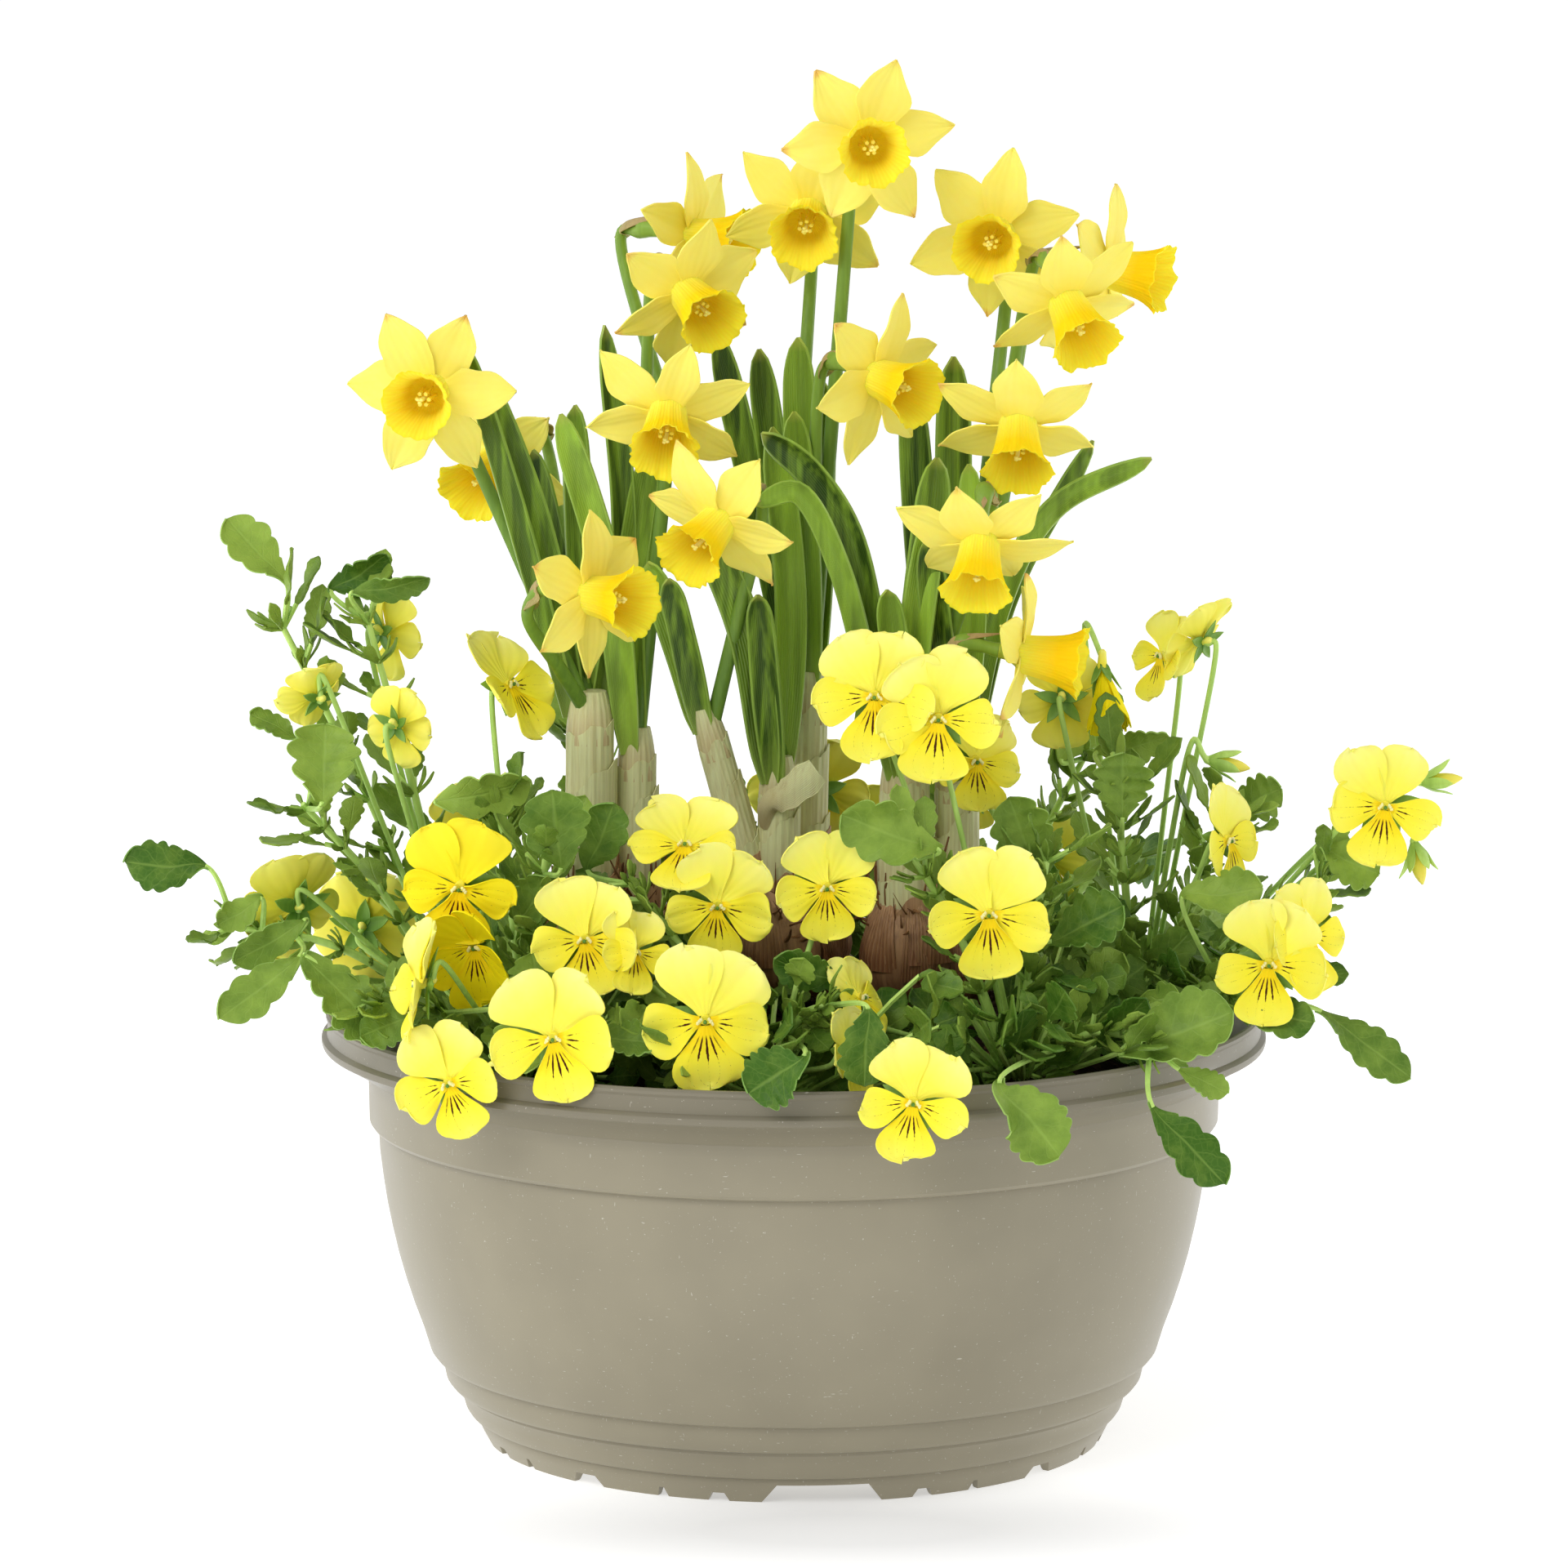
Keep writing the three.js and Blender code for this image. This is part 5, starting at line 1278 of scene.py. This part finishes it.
def make_foliage(settings):
    finishes = [
        material(leaf_finish, "pansy_leaf", paint("3f651a"), [*settings.leaf_colour, 1], paint("9cba58")),
        material(leaf_finish, "pansy_leaf_underside", paint("6f9644"), paint("a0c05e"), paint("bcd484"), True),
        material(stem_finish, "pansy_stem", "94bc54", "c2e27a"),
        material(pansy_finish, "bud_tip", paint("f4ea70"), paint("e9d84a")),
    ]
    for name, plant in PLANTS.items():
        pick = random.Random(settings.seed + len(name) + plant["crown"][0])
        piece = Piece()
        stems = [Route(stem_points(name, tip)) for tip in plant["stems"]]
        for route in stems:
            piece.tube(route, lambda v: 1.45 - 0.6 * v, sides=8, rows=28, finish=GREEN_STEM)
        for row in PANSIES:
            if row[0] == name:
                route = Route(pedicel_points(name, row[1], row[2]))
                piece.tube(route, lambda v: 0.8 + 0.5 * max(0, v - 0.92) / 0.08, sides=7, rows=36, finish=GREEN_STEM)
        for row in BUDS:
            if row[0] == name:
                add_bud(piece, Route(bud_points(*row)), pick)
        for _, centre, length, width, *turns in [row for row in LEAVES if row[0] == name]:
            ways = [leaf_points(name, stems, centre, length, turns, move) for move in MOVES]
            face = leaf_axes(*turns)[1]
            marks = ((0.57, 0.72, 0.35), (0.7, 1, 0.35), (0.88, 0.84, 0.35))
            add_leaf(piece, as_packed("plant_" + name, ways, marks, width, face), face, width, pick)
        add_undergrowth(piece, name, stems, settings, pick)
        piece.finish("pansy_plant_" + name, "viola_leaf", finishes, ["plant_" + name])


def add_leaf(piece, points, face, width, pick):
    """A stalked leaf with scallops along its edge, folded along its midrib"""
    route = Route(points)
    fold, wave, phase = pick.uniform(0.05, 0.4), pick.uniform(0.4, 1.2), pick.random() * 6
    teeth, depth = pick.choice((3, 4, 4, 5)), pick.uniform(0.2, 0.36)

    def half(v):
        notch = 1 - abs(math.sin(math.pi * (teeth * (v - 0.28) / 0.72))) ** 0.75 if v > 0.28 else 0
        return 0.5 * width * smooth(LEAF_FORM, v) * (1.08 - depth * notch)

    piece.tube(route, lambda v: 0.95 - 0.25 * v, sides=6, rows=12, stop=0.37, finish=GREEN_STEM)
    piece.blade(route, half, [STALK_FACE, face], across=8, along=38, start=1 / 3, stop=0.98, dish=fold,
                wave=wave, phase=phase, thickness=0.45, finish=LEAF_TOP, under=LEAF_UNDER, tone=pick.random())


def add_small_leaf(piece, points, face, width, tone, pick):
    """A leaf among many, with few faces"""
    route = Route(points)
    piece.tube(route, lambda v: 0.7, sides=4, rows=3, stop=0.37, closed=False, finish=GREEN_STEM)
    piece.blade(route, lambda v: 0.48 * width * smooth(LEAF_FORM, v) * (1 - 0.15 * math.cos(8 * math.pi * v)), [face],
                across=4, along=12, start=1 / 3, dish=pick.uniform(0, 0.5), wave=pick.uniform(0, 1),
                phase=pick.random() * 6, finish=LEAF_TOP, tone=tone)


def add_bud(piece, route, pick):
    """A stalk that turns over into a bud, whose splayed sepals leave a yellow tip"""
    piece.tube(route, lambda v: 0.85 + 0.4 * (v > 0.95), sides=7, rows=32, stop=0.76, finish=GREEN_STEM)
    form = ((0, 1.0), (0.25, 2.0), (0.5, 2.5), (0.8, 1.8), (1, 0.3))
    piece.tube(route, lambda v: 0.9 * smooth(form, v), sides=10, rows=10, start=0.74, stop=1, finish=BUD_TIP)
    at, along = route.at(0.74), route.along(0.87)
    side = along.orthogonal().normalized()
    form = ((0, 0.9), (0.4, 1.7), (0.75, 1.2), (1, 0.1))
    for k in range(5):
        out = Matrix.Rotation(k * math.tau / 5, 3, along) @ side
        flare = pick.uniform(2.5, 5)
        points = [at + along * s + out * r
                  for s, r in ((0, 0.8), (3.5, 2.9), (6.5, 2.7 + 0.4 * flare), (9, 2 + flare))]
        piece.blade(Route(points), lambda v: smooth(form, v), [out], across=4, along=10, dish=-0.3, thickness=0.3,
                    finish=GREEN_STEM)


BLOOM_SURFACES = []


def bloom_surfaces():
    """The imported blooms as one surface, for keeping small leaves clear of them"""
    if not BLOOM_SURFACES:
        verts, faces = [], []
        for name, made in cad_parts.items():
            if name.startswith(("viola_", "daffodil_")):
                faces += [[len(verts) + i for i in p.vertices] for p in made.data.polygons]
                verts += [v.co / MM for v in made.data.vertices]
        BLOOM_SURFACES.append(BVHTree.FromPolygons(verts, faces))
    return BLOOM_SURFACES[0]


def in_bulbs(spot, gap):
    """Whether a place lies within gap of a bulb or of the neck on it"""
    for bulb in [bulb for clump in BULBS.values() for bulb in clump]:
        x, y, z = bulb["at"]
        if spot.z < z + BULB_ABOVE + gap and math.hypot(spot.x - x, spot.y - y) < bulb["radius"] + gap:
            return True
    for neck in NECKS.values():
        foot, top = Vector(neck["foot"]), Vector(neck["top"])
        rise = top - foot
        share = min(1, max(0, (spot - foot).dot(rise) / rise.length_squared))
        if (spot - foot - share * rise).length < neck["width"] / 2 + gap:
            return True
    return False


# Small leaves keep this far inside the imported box, this far in from the wall where they are lower than its rim,
# and hide no bloom that is this near behind them
BOX_MARGIN = 7
WALL = {"radius": 116, "top": 127}
BEHIND = 60


def is_open(spots, gap):
    """Whether none of the places lies near or in front of a bloom, in the bowl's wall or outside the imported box"""
    low, high = [Vector(c) / MM for c in CAD_BOX]
    blooms = bloom_surfaces()
    for spot in spots:
        if any(not low[i] + BOX_MARGIN < spot[i] < high[i] - BOX_MARGIN for i in range(3)):
            return False
        radius = math.hypot(spot.x, spot.y)
        if (spot.z < WALL["top"] and radius > WALL["radius"]) or spot.z < mix_height(radius) + 1:
            return False
        if blooms.find_nearest(spot, gap)[0] or blooms.ray_cast(spot, -FRONT, BEHIND)[0]:
            return False
    return True


# Where a front plant's small leaves would hide the bulbs: least and most x, least y, and least height
BULB_WINDOW = (-20, 52, -95, 134)
FRONT_PLANTS_Y = -40
# Shares of a leafy stem at which its joints are
JOINTS = (0.27, 0.38, 0.5, 0.62, 0.74, 0.86, 0.97)


def hides_bulbs(spot, base):
    left, right, front, above = BULB_WINDOW
    return left < spot.x < right and front < spot.y and spot.z > above and base.y < FRONT_PLANTS_Y


def add_undergrowth(piece, plant, stems, settings, pick):
    """Small leaves that fill each plant out, and the narrow stipules at the joints of its stems"""
    base = crown_base(plant)
    outward = level(base).normalized()
    made = 0
    for _ in range(settings.fill_leaves * 8):
        if made >= settings.fill_leaves:
            break
        turn, deep = pick.uniform(0, math.tau), pick.random()
        away = polar(turn, 1)
        reach, height = 52 * math.sqrt(pick.random()), 2 + 38 * deep ** 1.6
        centre = base + reach * away + height * UP
        centre.z += mix_height(math.hypot(centre.x, centre.y)) - base.z
        length, width = pick.uniform(11, 23), pick.uniform(7, 13)
        if hides_bulbs(centre, base):
            continue
        along = (away * pick.uniform(0.3, 1) + 0.35 * outward + UP * pick.uniform(-0.2, 0.9)).normalized()
        face = (UP * pick.uniform(0.2, 1) + 0.7 * outward + 0.5 * FRONT * pick.random()).normalized()
        face = (face - face.dot(along) * along).normalized()
        side = along.cross(face)
        spots = [centre + a * length / 2 * along + b * width / 2 * side
                 for a, b in ((-1, 0), (0, -1), (0, 1), (1, 0))]
        if not is_open([centre, *spots], 3):
            continue
        foot = base.lerp(centre, 0.25)
        foot.z = base.z + 3
        start = centre - length / 2 * along
        stalk = [foot.lerp(start, s) for s in (0.25, 0.5, 0.75, 1)]
        if any(in_bulbs(spot, 2.5) for spot in (*stalk, centre, *spots)):
            continue
        points = [foot, start, centre, centre + length / 2 * along - 0.1 * length * face]
        # painted shade: the lower a small leaf stands, the darker its green may be
        add_small_leaf(piece, points, face, width, pick.uniform(0, 0.1 + 0.8 * deep), pick)
        made += 1
    for route in stems:
        for s in JOINTS:
            at, along = route.at(s), route.along(s)
            add_stipules(piece, at, along, 7 + 4 * s, pick)
            for k in range(2):
                out = Matrix.Rotation(pick.random() * math.tau, 3, along) @ along.orthogonal().normalized()
                way = (0.7 * along + pick.uniform(0.5, 1.1) * out).normalized()
                long = pick.uniform(9, 17)
                tip = at + 1.5 * long * way
                face = (UP + 0.6 * FRONT * pick.random()).normalized()
                if is_open([at.lerp(tip, 0.6), tip], 2):
                    add_small_leaf(piece, [at, at + 0.5 * long * way, at + long * way, tip + 0.1 * long * face], face,
                                   0.5 * long, pick.uniform(0.3, 1.0), pick)


def add_stipules(piece, at, along, long, pick):
    """A tuft of narrow lobes round a joint"""
    side = along.orthogonal().normalized()
    for k in range(8):
        out = Matrix.Rotation(pick.random() * math.tau, 3, along) @ side
        reach = long * pick.uniform(0.5, 1.25)
        tip = at + reach * (pick.uniform(0.4, 0.9) * along + pick.uniform(0.5, 0.9) * out)
        points = [at, at.lerp(tip, 0.5) + 0.12 * reach * out, tip]
        wide = 0.13 * reach * pick.uniform(0.8, 1.6)
        piece.blade(Route(points), lambda v: wide * (0.35 + 2.2 * v * v * (1.15 - v)) * (1 - 0.9 * v ** 6),
                    [out + 0.5 * UP], across=2, along=6, finish=LEAF_TOP, tone=pick.uniform(0.4, 1.0))


# ---------------------------------------------------------------------------- the studio

# The lamps: where they stand, in metres, their width and height, and their share of the main power
LAMPS = {
    "key_light": ((-1.3, -1.7, 1.7), (1.5, 1.2), 1.0),
    "fill_light": ((1.7, -1.5, 1.2), (1.5, 1.5), 0.12),
    "left_side_light": ((-1.5, 0.2, 0.5), (0.9, 1.4), 0.29),
    "right_side_light": ((1.5, 0.6, 0.5), (0.7, 1.4), 0.3),
}
LAMPS_AIM = (0, 0, 0.18)
# The camera: where it stands, in metres, and how many degrees it looks down
CAMERA = {"at": (-0.0028, -1.95, 0.472), "tilt": 8.3}


def make_stage(settings):
    scene = bpy.context.scene
    shape = bmesh.new()
    bmesh.ops.create_grid(shape, x_segments=8, y_segments=8, size=20)
    floor = add_object("studio_floor", mesh_from(shape, "studio_floor"))
    f = Finish("backlit_white_acrylic", Roughness=0.9, Specular_IOR_Level=0.0, Emission_Color=(1, 1, 1, 1))
    grain = f.grain(400, 1)
    colour = f.add("MIX", grain, shade(settings.floor_colour, 1), shade(settings.floor_colour, 0.985))
    # painted shadow: the floor's glow is dimmed under the front of the bowl, which paints a soft shadow there
    away = f.add("LENGTH", f.add("SCALED", f.place, [0.7, 1.6, 1], [-10, 190, 0]))
    glow = f.add("RANGE", away, 26, 105, 0.44 * settings.floor_glow, settings.floor_glow)
    f.feed(f.shader, "Emission Strength", glow)
    floor.data.materials.append(f.done(colour, grain, 0.0, 1))

    world = bpy.data.worlds.new("studio_light")
    world.use_nodes = True
    back = world.node_tree.nodes["Background"]
    back.inputs["Color"].default_value = (1, 1, 1, 1)
    back.inputs["Strength"].default_value = settings.room_light
    scene.world = world

    for name, (at, size, share) in LAMPS.items():
        lamp = bpy.data.lights.new(name, "AREA")
        lamp.shape = "RECTANGLE"
        lamp.size, lamp.size_y = size
        lamp.energy = share * settings.key_power
        holder = add_object(name, lamp)
        holder.location = at
        holder.rotation_euler = (Vector(LAMPS_AIM) - Vector(at)).to_track_quat("-Z", "Y").to_euler()

    camera = bpy.data.cameras.new("camera")
    camera.lens, camera.sensor_width, camera.clip_end = settings.lens, 36, 100
    holder = add_object("camera", camera)
    holder.location = CAMERA["at"]
    holder.rotation_euler = (math.radians(90 - CAMERA["tilt"]), 0, 0)
    scene.camera = holder
    scene.view_settings.view_transform = "Standard"


# ---------------------------------------------------------------------------- the add-on

def colour_setting(name, code, description):
    return bpy.props.FloatVectorProperty(name=name, description=description, subtype="COLOR", min=0, max=1,
                                         default=paint(code)[:3])


def number_setting(name, default, description, least=0, **more):
    return bpy.props.FloatProperty(name=name, description=description, default=default, min=least, **more)


def length_setting(name, millimetres, description):
    return number_setting(name, millimetres * MM, description, unit="LENGTH")


def count_setting(name, default, description):
    return bpy.props.IntProperty(name=name, description=description, min=0, default=default)


class BowlSettings(bpy.types.PropertyGroup):
    colour: colour_setting("Colour", "918a75", "Colour of the plastic")
    roughness: number_setting("Roughness", 0.33, "How matt the plastic is", max=1, subtype="FACTOR")
    sides: count_setting("Sides", 144, "Facets round the bowl")


class MixSettings(bpy.types.PropertyGroup):
    colour: colour_setting("Colour", "3d2b1e", "Colour of the growing mix")
    crumbs: count_setting("Crumbs", 420, "Loose bits on the growing mix")
    seed: count_setting("Seed", 3, "Which arrangement of crumbs is used")


class DaffodilSettings(bpy.types.PropertyGroup):
    tepal_colour: colour_setting("Tepals", "fbf07a", "Colour of the outer petals")
    trumpet_colour: colour_setting("Trumpet", "ffd418", "Colour of the trumpet outside")
    leaf_colour: colour_setting("Leaves", "9cc23e", "Colour of the paler strap leaves")
    tepal_reach: length_setting("Tepal reach", 26, "From the middle of a bloom to a tepal's tip")
    tepal_width: length_setting("Tepal width", 14.6, "Widest part of a tepal")
    trumpet_length: length_setting("Trumpet length", TRUMPET_LENGTH, "From the tepals to the trumpet's mouth")


class PansySettings(bpy.types.PropertyGroup):
    upper_colour: colour_setting("Upper petals", "fefa98", "Colour of the upper petals")
    lower_colour: colour_setting("Lower petals", "fef668", "Colour of the side petals and the lip")


class FoliageSettings(bpy.types.PropertyGroup):
    leaf_colour: colour_setting("Leaves", "94b048", "Colour of the paler pansy leaves")
    fill_leaves: count_setting("Filling leaves", 90, "Small leaves that fill out each pansy plant")
    seed: count_setting("Seed", 11, "Which arrangement of small leaves is used")


class StageSettings(bpy.types.PropertyGroup):
    floor_colour: colour_setting("Floor", "d8d8d8", "Colour of the floor")
    floor_glow: number_setting("Floor light", 0.64, "Strength of the light from the floor")
    room_light: number_setting("Room light", 0.58, "Strength of the even light")
    key_power: number_setting("Key light", 26, "Power of the main soft light", unit="POWER")
    lens: number_setting("Lens", 158.8, "Focal length", least=1, unit="CAMERA")


class PLANTER_OT_bowl(bpy.types.Operator):
    """Add the moulded bowl with its rim, ribs and notched foot"""
    bl_idname = "planter.add_bowl"
    bl_label = "Bowl"

    def execute(self, context):
        make_bowl(context.scene.planter_bowl)
        return {"FINISHED"}


class PLANTER_OT_mix(bpy.types.Operator):
    """Add the domed growing mix and its crumbs"""
    bl_idname = "planter.add_mix"
    bl_label = "Growing Mix"

    def execute(self, context):
        make_mix(context.scene.planter_mix)
        return {"FINISHED"}


class PLANTER_OT_bulbs(bpy.types.Operator):
    """Add the bulbs with their papery skins and sheaths"""
    bl_idname = "planter.add_bulbs"
    bl_label = "Bulbs"

    def execute(self, context):
        make_bulbs()
        return {"FINISHED"}


class PLANTER_OT_shoots(bpy.types.Operator):
    """Add the strap leaves and the flower stems"""
    bl_idname = "planter.add_shoots"
    bl_label = "Strap Leaves"

    def execute(self, context):
        make_shoots(context.scene.planter_daffodil)
        return {"FINISHED"}


class PLANTER_OT_daffodils(bpy.types.Operator):
    """Add the daffodil blooms"""
    bl_idname = "planter.add_daffodils"
    bl_label = "Daffodils"

    def execute(self, context):
        make_daffodils(context.scene.planter_daffodil)
        return {"FINISHED"}


class PLANTER_OT_pansies(bpy.types.Operator):
    """Add the pansy blooms"""
    bl_idname = "planter.add_pansies"
    bl_label = "Pansies"

    def execute(self, context):
        make_pansies(context.scene.planter_pansy)
        return {"FINISHED"}


class PLANTER_OT_foliage(bpy.types.Operator):
    """Add the pansies' stems, stalks, buds and leaves"""
    bl_idname = "planter.add_foliage"
    bl_label = "Foliage"

    def execute(self, context):
        make_foliage(context.scene.planter_foliage)
        return {"FINISHED"}


class PLANTER_OT_stage(bpy.types.Operator):
    """Add the floor, the soft light and the camera"""
    bl_idname = "planter.add_stage"
    bl_label = "Stage"

    def execute(self, context):
        make_stage(context.scene.planter_stage)
        return {"FINISHED"}


SETTINGS = {
    "planter_bowl": BowlSettings, "planter_mix": MixSettings, "planter_daffodil": DaffodilSettings,
    "planter_pansy": PansySettings, "planter_foliage": FoliageSettings, "planter_stage": StageSettings,
}
OPERATORS = (
    PLANTER_OT_stage, PLANTER_OT_bowl, PLANTER_OT_mix, PLANTER_OT_bulbs, PLANTER_OT_shoots, PLANTER_OT_daffodils,
    PLANTER_OT_pansies, PLANTER_OT_foliage,
)


class PLANTER_PT_panel(bpy.types.Panel):
    """Lists what the planter is made of"""
    bl_label = "Daffodil and Pansy Bowl"
    bl_idname = "PLANTER_PT_panel"
    bl_space_type = "VIEW_3D"
    bl_region_type = "UI"
    bl_category = "Planter"

    def draw(self, context):
        for operator in OPERATORS:
            self.layout.operator(operator.bl_idname)
        for name, group in SETTINGS.items():
            for setting in group.__annotations__:
                self.layout.prop(getattr(context.scene, name), setting)


CLASSES = (*SETTINGS.values(), *OPERATORS, PLANTER_PT_panel)


def register():
    for each in CLASSES:
        bpy.utils.register_class(each)
    for name, group in SETTINGS.items():
        setattr(bpy.types.Scene, name, bpy.props.PointerProperty(type=group))


def unregister():
    for name in SETTINGS:
        delattr(bpy.types.Scene, name)
    for each in reversed(CLASSES):
        bpy.utils.unregister_class(each)


def main():
    register()
    for operator in OPERATORS:
        group, name = operator.bl_idname.split(".")
        getattr(getattr(bpy.ops, group), name)()


if __name__ == "__main__":
    main()
